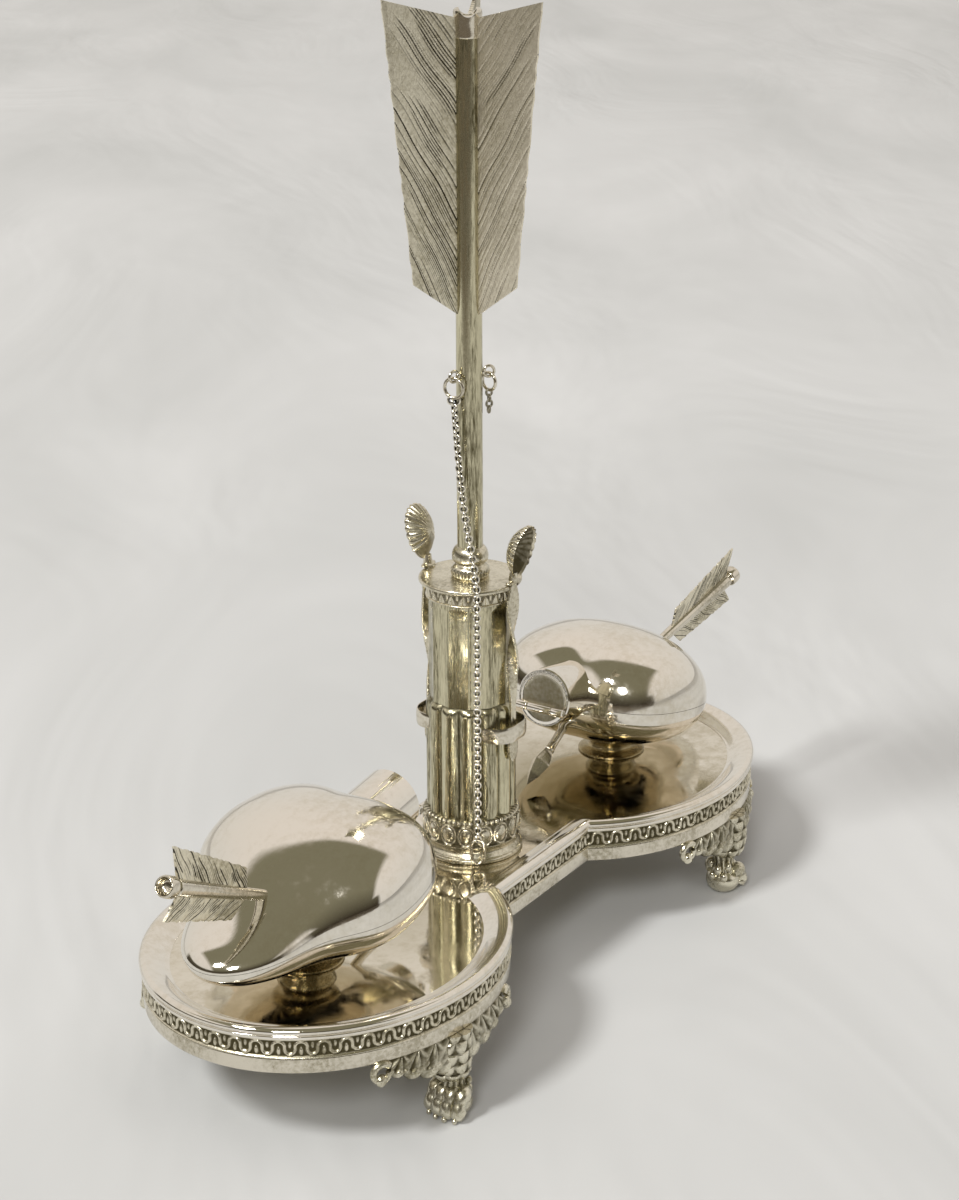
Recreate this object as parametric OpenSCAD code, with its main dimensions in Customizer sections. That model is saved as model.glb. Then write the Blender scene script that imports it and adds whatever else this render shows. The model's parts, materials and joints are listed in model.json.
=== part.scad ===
// Desk inkstand: two hinged heart boxes and a quiver with an upright arrow on a long footed base.
// Millimetres, Z up, origin under the middle of the base on the table.
// X runs along the line of the two hearts, Y across it.

/* [Base] */
// Distance of each lobe's centre from the middle
lobe_x = 76.2; // [75:0.1:77.5]
// Half length of a lobe, along X
lobe_a = 57.6; // [56.5:0.1:58.5]
// Half width of a lobe, along Y
lobe_b = 50; // [49:0.1:51]
// Half width of the straight bridge
bridge_w = 26; // [25:0.1:27]
// Height of the underside of the plain lower band
band_z = 27.5; // [27:0.1:28]
// Height of the plain lower band
band_h = 4.7; // [4.5:0.1:5]
// Height of the embossed frieze
frieze_h = 6; // [5.8:0.1:6.2]
// Thickness of the bands
wall = 1.6; // [1.4:0.1:1.8]
// Thickness of the top plate
plate_t = 1.2; // [1:0.1:1.4]
// Width allowed to one arch of the frieze
arch_pitch = 6.1; // [6:0.05:6.3]

/* [Feet] */
// Distance of the feet from the middle, along X
foot_x = 83; // [81:0.5:84]
// Distance of the feet from the middle, along Y
foot_y = 46.5; // [45.5:0.1:47]
// Half length of the spray of leaves beside each foot
spray_l = 33; // [30:0.5:34]

/* [Quiver] */
// Radius of the reeded sheath at the crests
sheath_r = 13.6; // [13.4:0.1:13.8]
// Radius of the fluted tube at the corners
tube_r = 12.7; // [12.5:0.1:12.9]
// Radius of the foot ring
ring_r = 15.6; // [15.4:0.1:15.8]
// Top of the quiver's foot
foot_top = 51.8; // [51.4:0.1:52.2]
// Top of the reeded sheath
sheath_top = 88; // [87:0.5:89]
// Underside of the cap
cap_z = 120.5; // [120:0.1:121]
// Top of the cap's flange
cap_top = 126.4; // [126:0.1:126.8]
// Radius of the cap's flange
flange_r = 15.5; // [15.3:0.1:15.7]

/* [Arrow] */
// Radius of the big arrow's shaft
shaft_r = 3.85; // [3.7:0.05:4]
// Top of the double collar
collar_top = 135.8; // [135:0.1:136.5]
// Top of the notched end
nock_top = 292.5; // [290:0.5:294]
// Reach of a vane from the axis at its top corner
vane_r = 25.5; // [24:0.5:26]
// Thickness of a vane
vane_t = 1.1; // [0.9:0.1:1.3]
// Direction of the first vane
vane_turn = 25; // [20:1:30]
// Height of the two lugs on the shaft
lug_z = 188.5; // [187:0.5:190]

/* [Spoons] */
// Distance of the spoon stems from the axis
spoon_y = 14.9; // [14.8:0.05:15]
// Thickness of a spoon stem
stem_t = 1.4; // [1.3:0.05:1.5]
// Width of a spoon stem
stem_w = 2.6; // [2.4:0.1:2.8]
// Height of the bottom end of the spoons
spoon_low = 69.5; // [69:0.5:71]
// Half height of a spoon's shell bowl
bowl_half = 8.3; // [8:0.1:8.6]
// Outward lean of a shell bowl
bowl_lean = 13; // [10:1:15]

/* [Hearts] */
// Distance of each heart's centre from the middle
heart_x = 87.2; // [86.5:0.1:88]
// Height of the seam at the heart's centre
heart_z = 60.9; // [60.4:0.1:61.4]
// Tilt of the left heart, tip down
tilt_left = 8; // [7:0.5:8.5]
// Tilt of the right heart, tip down
tilt_right = 9.7; // [9:0.1:10.2]
// Reach of the tip from the centre
tip_r = 47; // [46:0.1:47.5]
// Half width of a heart at its centre
side_r = 33.5; // [33:0.1:34]
// Reach of the rounded lobes
lobe_r = 37; // [36.5:0.1:37.5]
// Reach of the cleft between the lobes
cleft_r = 33; // [32.5:0.1:33.5]
// Height of the lid above the seam
lid_h = 22.3; // [21.5:0.1:22.6]
// Depth of the bowl below the seam
bowl_h = 16.9; // [16.7:0.1:17.2]
// Thickness of the heart's sheet
heart_t = 1.3; // [1.2:0.1:1.4]
// Radius of the short round nozzle
nozzle_r = 9.4; // [9:0.1:9.6]
// Height of the nozzle's centre above the seam
nozzle_up = 3.2; // [2.8:0.1:3.6]
// Distance of the nozzle's flat end from the heart's centre
nozzle_l = 45.5; // [45:0.1:46]
// Gap left along the seam
seam_gap = 0.12; // [0.1:0.01:0.15]
// Rise of the arrow through the left heart
pierce_left = 34; // [33:0.5:35]
// Rise of the arrow through the right heart
pierce_right = 26; // [25:0.5:27]
// Distance of the arrows to the near side of the hearts' middle line
pierce_y = 4; // [3:0.5:5]
// Length of an arrow's tail outside the lid
tail_l = 44; // [42:0.5:45]

/* [Hidden] */
band_top = band_z + band_h;
frieze_top = band_top + frieze_h;
plate_top = frieze_top;
shaft_low = collar_top;
arc_n = 42;
corner = asin(bridge_w / lobe_b);
pin_r = 0.7;
knuckle_r = 1.45;
hinge_u = nozzle_l + knuckle_r + 0.2;
view_fn = 40;

// Piece to draw

silver = [0.80, 0.79, 0.75];
dark = [0.62, 0.60, 0.54];
glass = [0.75, 0.85, 0.85];

// Outline of the base: each lobe is most of an ellipse, the bridge joins them with two straight edges.
function lobe_pt(s, t) = [s * lobe_x + lobe_a * cos(t), lobe_b * sin(t)];
function lobe_n(t) = let (v = [cos(t) / lobe_a, sin(t) / lobe_b]) v / norm(v);
function sweep_t(k) = -(180 - corner) + 2 * (180 - corner) * k / arc_n;
base_pts = [for (k = [0:arc_n]) lobe_pt(1, sweep_t(k)), for (k = [0:arc_n]) lobe_pt(-1, 180 + sweep_t(k))];
edge_n = [for (k = [0:arc_n]) lobe_n(sweep_t(k)), for (k = [0:arc_n]) lobe_n(180 + sweep_t(k))];
// At the four corners the two edges share one mitre line.
function mitre(a, b) = (a + b) / (1 + a * b);
base_n = [for (i = [0:2 * arc_n + 1])
    (i == 0 || i == 2 * arc_n + 1) ? mitre(edge_n[i], [0, -1])
    : (i == arc_n || i == arc_n + 1) ? mitre(edge_n[i], [0, 1]) : edge_n[i]];
base_len = len(base_pts);
function shifted(d) = [for (i = [0:base_len - 1]) base_pts[i] + d * base_n[i]];

// A closed band: the profile's (offset, height) pairs carried round the outline.
module sweep(profile) {
    m = len(profile);
    n = base_len;
    pts = [for (i = [0:n - 1], p = profile) [base_pts[i][0] + p[0] * base_n[i][0], base_pts[i][1] + p[0] * base_n[i][1], p[1]]];
    faces = [for (i = [0:n - 1], j = [0:m - 1])
        let (a = i * m + j, b = i * m + (j + 1) % m, c = ((i + 1) % n) * m + (j + 1) % m, d = ((i + 1) % n) * m + j)
        each [[a, b, c], [a, c, d]]];
    polyhedron(points = pts, faces = faces, convexity = 8);
}

// Length walked along the outline, used to space the arches and the leaves.
walked = [for (i = 0, s = 0; i < base_len; s = s + norm(base_pts[(i + 1) % base_len] - base_pts[i]), i = i + 1) s];
arc_len = walked[arc_n];
bridge_len = walked[arc_n + 1] - walked[arc_n];
place_table = [for (i = [0:base_len - 1]) [walked[i], i]];
function at_index(s) = min(lookup(s, place_table), base_len - 1.0001);
function at_pt(s) = let (f = at_index(s), k = floor(f)) base_pts[k] + (f - k) * (base_pts[k + 1] - base_pts[k]);
function at_dir(s) = let (k = floor(at_index(s)), v = base_pts[k + 1] - base_pts[k]) atan2(v[1], v[0]);

module top_plate() color(silver)
    translate([0, 0, plate_top - plate_t]) linear_extrude(plate_t) polygon(shifted(-wall));

module rim_moulding() color(silver)
    sweep([[0.5, plate_top], [0.5, plate_top + 0.8], [0.1, plate_top + 1.1], [0.7, plate_top + 1.9],
        [0.3, plate_top + 2.9], [-1.1, plate_top + 3.4], [-2.5, plate_top + 2.9], [-3.3, plate_top + 1.8],
        [-4.6, plate_top + 1.5], [-8, plate_top]]);

module arch() {
    half = arch_pitch * 0.38;
    rotate([90, 0, 0]) translate([0, 0, -0.15]) linear_extrude(1.05)
        polygon([[-half, 0], [-half * 0.72, frieze_h * 0.68], [half * 0.72, frieze_h * 0.68], [half, 0],
            [half * 0.62, 0], [half * 0.42, frieze_h * 0.5], [-half * 0.42, frieze_h * 0.5], [-half * 0.62, 0]]);
}

module arches(start, length) {
    count = round(length / arch_pitch);
    for (k = [0:count - 1]) {
        s = start + (k + 0.5) * length / count;
        translate([at_pt(s)[0], at_pt(s)[1], band_top + 0.7]) rotate([0, 0, at_dir(s)]) translate([0, 0.9, 0]) arch();
    }
}

module frieze_strip() color(dark) {
    sweep([[-wall, band_top], [0.3, band_top], [0.3, band_top + 0.5], [-0.5, band_top + 0.6],
        [-0.5, frieze_top - 0.6], [0.3, frieze_top - 0.5], [0.3, frieze_top], [-wall, frieze_top]]);
    arches(0, arc_len);
    arches(walked[arc_n], bridge_len);
    arches(walked[arc_n + 1], arc_len);
    rotate([0, 0, 180]) arches(walked[arc_n], bridge_len);
}

module lower_band() color(silver)
    sweep([[-wall, band_z], [0, band_z], [0, band_top], [-wall, band_top]]);

// One foot, drawn for the right near corner: knee, ankle, heel and four toes on a flat pad.
module foot() color(silver) {
    knee = [foot_x, -foot_y - 1.8, band_z - 6.5];
    ankle = [foot_x, -foot_y + 1.8, 9.5];
    hull() {
        translate([foot_x, -foot_y + 0.3, band_z - 1]) cylinder(r = 4.4, h = 1, $fn = 14);
        translate(knee) sphere(r = 4.9, $fn = 14);
    }
    hull() {
        translate(knee) sphere(r = 4.9, $fn = 14);
        translate(ankle) sphere(r = 3.5, $fn = 14);
    }
    hull() {
        translate(ankle) sphere(r = 3.5, $fn = 14);
        translate([foot_x, -foot_y - 0.6, 0]) cylinder(r1 = 5, r2 = 5.3, h = 3.6, $fn = 16);
    }
    for (k = [-1.5:1:1.5])
        translate([foot_x + k * 3.1, -foot_y - 4.8 + abs(k) * 1.1, 0]) cylinder(r1 = 1.8, r2 = 1.4, h = 4.6 - abs(k) * 0.4, $fn = 14);
}

// The spray of leaves hangs under the band on both sides of the foot and follows the lobe's edge.
function spray_drop(q) = 3.6 + 3.6 * (1 - abs(q)) + 1.5 * abs(sin(q * 540));
module leaf_spray() color(silver) {
    mid = arc_len / 2 - 90 / (180 - corner) * arc_len / 2 + (foot_x - lobe_x);
    n = 30;
    col = [for (i = [0:n]) let (q = -1 + 2 * i / n, s = mid + q * spray_l, f = at_index(s), k = floor(f),
        e = base_n[k] + (f - k) * (base_n[k + 1] - base_n[k]), p = at_pt(s), z = band_z - spray_drop(q))
        each [[p[0] - 1.9 * e[0], p[1] - 1.9 * e[1], band_z], [p[0] - 0.2 * e[0], p[1] - 0.2 * e[1], band_z],
            [p[0] + 0.9 * e[0], p[1] + 0.9 * e[1], z], [p[0] - 1.1 * e[0], p[1] - 1.1 * e[1], z]]];
    side = [for (i = [0:n - 1], j = [0:3]) let (a = i * 4 + j, b = i * 4 + (j + 1) % 4)
        each [[a, b, b + 4], [a, b + 4, a + 4]]];
    difference() {
        polyhedron(points = col, faces = concat(side, [[0, 3, 2], [0, 2, 1]], [[n * 4, n * 4 + 1, n * 4 + 2], [n * 4, n * 4 + 2, n * 4 + 3]]), convexity = 6);
        translate([foot_x, -foot_y - 1, 0]) cylinder(r = 7, h = band_z, $fn = 24);
    }
}

module quiver_foot() color(silver) {
    rotate_extrude($fn = view_fn) polygon([[0, plate_top], [ring_r, plate_top], [ring_r, plate_top + 1.4],
        [ring_r - 1, plate_top + 2.1], [ring_r - 1.7, plate_top + 3.5], [ring_r - 0.9, plate_top + 4.9], [ring_r - 0.6, 43.7],
        [ring_r - 0.6, foot_top - 1.5], [ring_r - 1, foot_top - 1], [ring_r - 0.7, foot_top - 0.5], [ring_r - 1, foot_top], [0, foot_top]]);
    for (k = [0:15])
        rotate([0, 0, k * 22.5]) translate([ring_r - 1.3, 0, (43.7 + foot_top - 1.5) / 2]) rotate([0, 90, 0])
            scale([1.35, 1, 1]) cylinder(r = 1.9, h = 1.1, $fn = 10);
}

module reeds() {
    reed = 3.7;
    circle(r = sheath_r - 2, $fn = 36);
    for (k = [0:11])
        rotate([0, 0, k * 30]) translate([sheath_r - reed, 0]) circle(r = reed, $fn = 18);
}
module quiver_sheath() color(silver) {
    translate([0, 0, foot_top]) linear_extrude(sheath_top - foot_top - 2) reeds();
    translate([0, 0, sheath_top - 2]) cylinder(r1 = sheath_r - 1.2, r2 = sheath_r - 1.8, h = 2, $fn = 36);
}

module quiver_tube() color(silver) {
    flute_r = 12;
    translate([0, 0, sheath_top]) difference() {
        cylinder(r = tube_r, h = cap_z - sheath_top, $fn = 12);
        for (k = [0:11])
            rotate([0, 0, k * 30 + 15]) translate([tube_r * cos(15) + flute_r - 0.34, 0, -1])
                cylinder(r = flute_r, h = cap_z - sheath_top - 2, $fn = 60);
    }
}

module quiver_cap() color(silver) {
    difference() {
        rotate_extrude($fn = view_fn) polygon([[0, cap_z], [13, cap_z], [13.4, cap_z + 0.5], [12.9, cap_z + 1.1],
            [13.1, cap_top - 2], [flange_r, cap_top - 1.2], [flange_r, cap_top], [0, cap_top]]);
        for (s = [-1, 1])
            translate([-2.6, s > 0 ? spoon_y - 1.3 : -spoon_y - 3.7, cap_z - 1]) cube([5.2, 5, cap_top - cap_z + 2]);
    }
}

module quiver_nut() color(dark) {
    translate([0, 0, plate_top - plate_t - 3.6]) cylinder(r = 7, h = 3.6, $fn = 6);
    translate([0, 0, plate_top - plate_t - 5.2]) cylinder(r = 2.4, h = 2, $fn = 24);
}

// A ribbon loop on the sheath; the spoon's stem drops through it.
module strap(s) color(silver)
    translate([0, 0, sheath_top - 10.5]) linear_extrude(4.5) difference() {
        polygon([[-8.4, s * 9.5], [-8, s * 13.2], [-4, s * 17.3], [4, s * 17.3], [8, s * 13.2], [8.4, s * 9.5],
            [7.5, s * 9.5], [7.1, s * 12.9], [3.6, s * 16.5], [-3.6, s * 16.5], [-7.1, s * 12.9], [-7.5, s * 9.5]]);
        reeds();
    }

module arrow_collar() color(silver)
    rotate_extrude($fn = 32) polygon([[0, cap_top], [5.2, cap_top], [5.7, cap_top + 0.9], [5.7, cap_top + 2.3], [5.1, cap_top + 3.5],
        [4.4, cap_top + 4], [5, cap_top + 4.7], [5.4, cap_top + 5.8], [5.4, cap_top + 7.2], [4.9, cap_top + 8.6], [4.2, collar_top], [0, collar_top]]);

module arrow_shaft() color(silver)
    translate([0, 0, shaft_low]) cylinder(r = shaft_r, h = nock_top - 8 - shaft_low, $fn = 32);

module arrow_nock() color(silver) {
    difference() {
        rotate_extrude($fn = 32) polygon([[0, nock_top - 8], [shaft_r, nock_top - 8], [shaft_r + 0.25, nock_top - 7],
            [shaft_r + 0.25, nock_top - 2.6], [shaft_r - 0.5, nock_top - 0.8], [shaft_r - 1.8, nock_top], [0, nock_top]]);
        translate([0, 0, nock_top + 0.4]) rotate([90, 0, 125]) cylinder(r = 2.5, h = 12, center = true, $fn = 24);
    }
}

module vane(turn) color(dark)
    rotate([0, 0, turn]) difference() {
        rotate([90, 0, 0]) translate([0, 0, -vane_t / 2]) linear_extrude(vane_t)
            polygon([[shaft_r - 0.6, nock_top - 86.5], [vane_r * 0.667, nock_top - 76.5], [vane_r, nock_top + 3.5], [shaft_r - 0.6, nock_top - 2.5]]);
        translate([0, 0, nock_top - 92.5]) cylinder(r = shaft_r, h = 84.5, $fn = 32);
        translate([0, 0, nock_top - 8]) cylinder(r = shaft_r + 0.25, h = 8, $fn = 32);
    }
module arrow_vane_back() vane(vane_turn);
module arrow_vane_left() vane(vane_turn + 120);
module arrow_vane_right() vane(vane_turn + 240);

// Each ring hangs on the lower wire of its lug and is turned a little from square.
lug_r = shaft_r + 2.2;
ring_drop = 0.45;
lug_left = 165;
lug_right = -38;
module lug(turn) color(silver)
    rotate([0, 0, turn]) {
        translate([lug_r, 0, lug_z]) rotate([90, 0, 0]) rotate_extrude($fn = 24) translate([1.6, 0]) circle(r = 0.45, $fn = 8);
        difference() {
            translate([shaft_r - 0.5, -0.4, lug_z - 0.7]) cube([1.1, 0.8, 1.4]);
            translate([0, 0, lug_z - 4]) cylinder(r = shaft_r, h = 8, $fn = 32);
        }
    }
module chain_lug_left() lug(lug_left);
module chain_lug_right() lug(lug_right);
module ring(turn, rad, skew) color(silver)
    rotate([0, 0, turn]) translate([lug_r, 0, lug_z - ring_drop - rad]) rotate([0, 90, skew])
        rotate_extrude($fn = 24) translate([rad, 0]) circle(r = ring_wire, $fn = 8);
ring_wire = 0.5;
ring_left = 3;
ring_right = 2.6;
module chain_ring_left() ring(lug_left, ring_left, 20);
module chain_ring_right() ring(lug_right, ring_right, 26);

// Path of the long chain: from the left ring to the flange's edge, then straight down the quiver.
function cyl(r, a, z) = [r * cos(a), r * sin(a), z];
clip_z = plate_top + 5.2;
chain_turn = 219;
chain_r = flange_r + 1.4;
chain_top = cyl(lug_r, lug_left, lug_z - ring_drop - 2 * ring_left - 1.1);
chain_path = [chain_top, cyl(shaft_r + 3.55, lug_left + 21, lug_z - 23.5), cyl(shaft_r + 7.35, chain_turn - 13, lug_z - 41.5),
    cyl(chain_r - 0.5, chain_turn - 1, cap_top + 4.1), cyl(chain_r + 0.1, chain_turn, cap_top + 0.6), cyl(chain_r, chain_turn, cap_top - 6.4),
    cyl(chain_r, chain_turn, clip_z + 4.6)];
chain_walk = [for (i = 0, s = 0; i < len(chain_path); s = s + (i < len(chain_path) - 1 ? norm(chain_path[i + 1] - chain_path[i]) : 0), i = i + 1) [s, i]];
chain_len = chain_walk[len(chain_path) - 1][0];
function chain_pt(s) = let (f = min(lookup(s, chain_walk), len(chain_path) - 1.001), k = floor(f)) chain_path[k] + (f - k) * (chain_path[k + 1] - chain_path[k]);
module bar(a, b, r, fn) {
    v = b - a;
    translate(a) rotate([0, acos(v[2] / norm(v)), atan2(v[1], v[0])]) cylinder(r = r, h = norm(v), $fn = fn);
}
module long_chain() color(dark) {
    n = round(chain_len / 3);
    for (k = [0:n - 1])
        bar(chain_pt(chain_len * (k + 0.2) / n), chain_pt(chain_len * (k + 0.8) / n), 1, 8);
    for (i = [0:len(chain_path) - 2])
        bar(chain_path[i], chain_path[i + 1], 0.45, 6);
}
module chain_end_clip() color(dark) {
    translate(cyl(chain_r, chain_turn, clip_z)) rotate([0, 0, chain_turn]) {
        difference() {
            scale([0.5, 1, 1.9]) rotate([0, 90, 0]) cylinder(r = 2.4, h = 2.4, center = true, $fn = 16);
            scale([0.6, 1, 2.1]) rotate([0, 90, 0]) cylinder(r = 1.5, h = 3, center = true, $fn = 16);
        }
    }
}
module short_chain() color(dark) {
    a = cyl(lug_r, lug_right, lug_z - ring_drop - 2 * ring_right - 1.1);
    bar(a, a - [0, 0, 5.6], 0.45, 6);
    for (k = [0:2])
        bar(a - [0, 0, 0.5 + 1.9 * k], a - [0, 0, 1.9 + 1.9 * k], 1, 8);
}

// A spoon: shell bowl facing outwards, collar resting on the flange, flat stem and an oval end.
// The shell's rim is scalloped and its back ribbed; s is the side it faces.
bowl_n = 44;
bowl_rows = 3;
neck_z = cap_top + 2.6;
function bowl_rib(t) = sin(t) < -0.6 ? 0 : abs(cos(bowl_n / 4 * t));
function bowl_at(s, t, q, back) = let (rim = 1 + 0.05 * bowl_rib(t) * q, flare = 0.86 + 0.14 * sin(t))
    [6.4 * q * rim * flare * cos(t), s * (1.4 - 4.2 * (1 - pow(q, 2.4)) - (back ? 0.8 + 0.35 * bowl_rib(t) * q : 0)), bowl_half * q * rim * sin(t)];
module spoon_bowl(s) color(silver)
    translate([0, s * spoon_y, neck_z]) rotate([-s * bowl_lean, 0, 0]) translate([0, s * 0.4, bowl_half]) {
        side = [for (b = [false, true]) concat([bowl_at(s, 0, 0, b)],
            [for (j = [1:bowl_rows], i = [0:bowl_n - 1]) bowl_at(s, 360 * i / bowl_n, j / bowl_rows, b)])];
        m = len(side[0]);
        edge = 1 + (bowl_rows - 1) * bowl_n;
        one = concat([for (i = [0:bowl_n - 1]) [0, 1 + i, 1 + (i + 1) % bowl_n]],
            [for (j = [0:bowl_rows - 2], i = [0:bowl_n - 1])
                let (a = 1 + j * bowl_n + i, b = 1 + j * bowl_n + (i + 1) % bowl_n) each [[a, b + bowl_n, b], [a, a + bowl_n, b + bowl_n]]]);
        rim = [for (i = [0:bowl_n - 1]) let (a = edge + i, b = edge + (i + 1) % bowl_n) each [[a, b + m, b], [a, a + m, b + m]]];
        all = concat(one, [for (f = one) [f[0] + m, f[2] + m, f[1] + m]], rim);
        polyhedron(points = concat(side[0], side[1]), faces = s > 0 ? all : [for (f = all) [f[0], f[2], f[1]]], convexity = 6);
    }
module spoon_stem(s) color(silver)
    difference() {
        union() {
            translate([-stem_w / 2, s * spoon_y - stem_t / 2, spoon_low + 6]) cube([stem_w, stem_t, cap_top + 0.5 - spoon_low - 6]);
            translate([-3.4, s * spoon_y - 1.4, cap_top]) cube([6.8, 2.8, 1.3]);
            translate([0, s * (spoon_y + 0.2), cap_top + 1]) cylinder(r = 1.1, h = neck_z + 1.6 - cap_top, $fn = 20);
            translate([0, s * spoon_y, spoon_low + 4.4]) rotate([90, 0, 0]) scale([1, 1.9, 1]) cylinder(r = 2.3, h = stem_t, center = true, $fn = 20);
        }
        hull() spoon_bowl(s);
    }
module spoon_near_bowl() spoon_bowl(-1);
module spoon_near_stem() spoon_stem(-1);
module spoon_far_bowl() spoon_bowl(1);
module spoon_far_stem() spoon_stem(1);

// Heart: reach in each direction as a smooth even curve through seven radii.
heart_r = [tip_r, tip_r * 0.755, side_r * 0.9, side_r, side_r * 1.09, lobe_r, cleft_r];
function fold(k) = (k == 0 || k == 6) ? 0.5 : 1;
heart_c = [for (m = [0:6]) fold(m) / 3 * ([for (k = [0:6]) fold(k) * heart_r[k] * cos(30 * m * k)] * [1, 1, 1, 1, 1, 1, 1])];
function reach(t) = heart_c * [for (m = [0:6]) cos(m * t)];
function ease(x) = let (c = min(max(x, 0), 1)) c * c * (3 - 2 * c);
function slope(u, k) = 1 - k * ease((u + 8) / 48);
function valley(t, q) = 1 - 0.16 * q * exp(-pow((abs(t) - 180) / 13, 2));
// Half a heart as a closed solid: s is 1 above the seam and -1 below, inset draws the hollow.
module heart_half(s, inset) {
    nt = 36;
    nr = 6;
    h = (s > 0 ? lid_h : bowl_h) - inset;
    k = s > 0 ? 0.62 : 0.26;
    pts = concat([[0, 0, s * h * slope(0, k)]],
        [for (j = [1:nr], i = [0:nt - 1]) let (t = -180 + 360 * i / nt, q = sin(90 * j / nr), r = (reach(t) - inset) * q, u = r * cos(t))
            [u, r * sin(t), j == nr ? 0 : s * h * slope(u, k) * valley(t, q) * sqrt(1 - pow(q, 3.6))]],
        [[0, 0, 0]]);
    last = 1 + nr * nt;
    fan = [for (i = [0:nt - 1]) [0, 1 + (i + 1) % nt, 1 + i]];
    skin = [for (j = [0:nr - 2], i = [0:nt - 1])
        let (a = 1 + j * nt + i, b = 1 + j * nt + (i + 1) % nt, c = b + nt, d = a + nt) each [[a, b, c], [a, c, d]]];
    cap = [for (i = [0:nt - 1]) [last, 1 + (nr - 1) * nt + i, 1 + (nr - 1) * nt + (i + 1) % nt]];
    all = concat(fan, skin, cap);
    polyhedron(points = pts, faces = s > 0 ? all : [for (f = all) [f[0], f[2], f[1]]], convexity = 6);
}
function side_tilt(s) = s > 0 ? tilt_right : tilt_left;
module heart_frame(s) translate([s * heart_x, 0, heart_z]) rotate([0, 0, s > 0 ? 0 : 180]) rotate([0, side_tilt(s), 0]) children();

module half_nozzle(s, r, from, to) intersection() {
    translate([-from, 0, nozzle_up]) rotate([0, 90, 0]) cylinder(r = r, h = from - to, $fn = 40);
    translate([-from - 1, -r - 1, s > 0 ? 0 : -r - 1]) cube([from - to + 2, 2 * r + 2, s > 0 ? r + nozzle_up + 1 : r + 1]);
}
module knuckle(y0, y1) translate([-hinge_u, y1, 0]) rotate([90, 0, 0]) cylinder(r = knuckle_r, h = y1 - y0, $fn = 20);
module pin_bore() translate([-hinge_u, 12, 0]) rotate([90, 0, 0]) cylinder(r = pin_r + 0.08, h = 24, $fn = 20);

module heart_lid(s) color(silver) heart_frame(s) difference() {
    union() {
        difference() {
            union() {
                heart_half(1, 0);
                half_nozzle(1, nozzle_r, nozzle_l, 24);
            }
            heart_half(1, heart_t);
            half_nozzle(1, nozzle_r - heart_t, nozzle_l - heart_t, 22);
            translate([-70, -50, -0.01]) cube([140, 100, seam_gap / 2 + 0.01]);
        }
        knuckle(-4.2, 4.2);
        translate([-hinge_u, -4.2, 0.3]) cube([knuckle_r + 0.4, 8.4, knuckle_r - 0.4]);
    }
    pin_bore();
}
module heart_bowl(s) color(silver) heart_frame(s) difference() {
    union() {
        difference() {
            union() {
                heart_half(-1, 0);
                half_nozzle(-1, nozzle_r, nozzle_l, 24);
            }
            heart_half(-1, heart_t);
            half_nozzle(-1, nozzle_r - heart_t, nozzle_l - heart_t, 22);
            translate([-70, -50, -seam_gap / 2]) cube([140, 100, seam_gap / 2 + 0.01]);
        }
        for (k = [-1, 1]) {
            knuckle(k > 0 ? 4.4 : -8.6, k > 0 ? 8.6 : -4.4);
            translate([-hinge_u, k > 0 ? 4.4 : -8.6, -knuckle_r + 0.1]) cube([knuckle_r + 0.4, 4.2, knuckle_r - 0.4]);
        }
    }
    pin_bore();
}
module hinge_pin(s) color(dark) heart_frame(s)
    translate([-hinge_u, 8.9, 0]) rotate([90, 0, 0]) cylinder(r = pin_r, h = 17.8, $fn = 20);

module heart_foot(s) color(silver) difference() {
    translate([s * heart_x, 0, 0]) rotate_extrude($fn = view_fn) polygon([[0, plate_top], [11, plate_top], [11, plate_top + 0.8],
        [8, plate_top + 1.5], [7.2, plate_top + 2.8], [8.8, plate_top + 7.5], [0, plate_top + 7.5]]);
    heart_frame(s) heart_half(-1, 0);
}
module heart_nut(s) color(dark) translate([s * heart_x, 0, 0]) {
    translate([0, 0, plate_top - plate_t - 3]) cylinder(r = 5, h = 3, $fn = 6);
    translate([0, 0, plate_top - plate_t - 4.4]) cylinder(r = 1.9, h = 1.8, $fn = 24);
}

// An arrow pierces each heart: its tail is fixed to the lid, its head droops from the bowl.
function pierce(s) = s > 0 ? pierce_right : pierce_left;
module on_arrow(s) heart_frame(s) translate([tip_r * 0.51, -s * pierce_y, lid_h * 0.547]) rotate([0, 90 - pierce(s), s > 0 ? -8 : 0]) children();
module lid_arrow_shaft(s) color(silver) difference() {
    on_arrow(s) {
        cylinder(r = 1.9, h = tail_l, $fn = 20);
        translate([0, 0, tail_l - 7.5]) cylinder(r = 3.1, h = 2.4, $fn = 24);
        translate([0, 0, tail_l - 3.6]) cylinder(r1 = 2, r2 = 3, h = 1.4, $fn = 24);
        translate([0, 0, tail_l - 2.2]) cylinder(r1 = 3, r2 = 2.4, h = 2.8, $fn = 24);
    }
    heart_frame(s) heart_half(1, 0);
}
module lid_arrow_vanes(s) color(dark) difference() {
    on_arrow(s) for (k = [0:2]) rotate([0, 0, 180 + 120 * k]) rotate([90, 0, 0]) translate([0, 0, -0.4]) linear_extrude(0.8)
        polygon([[1.5, tail_l - 34], [9, tail_l - 29], [10.5, tail_l - 5], [1.5, tail_l - 8.5]]);
    on_arrow(s) {
        cylinder(r = 1.9, h = tail_l, $fn = 20);
        translate([0, 0, tail_l - 7.5]) cylinder(r = 3.1, h = 2.4, $fn = 24);
    }
    heart_frame(s) heart_half(1, 0);
}
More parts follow.
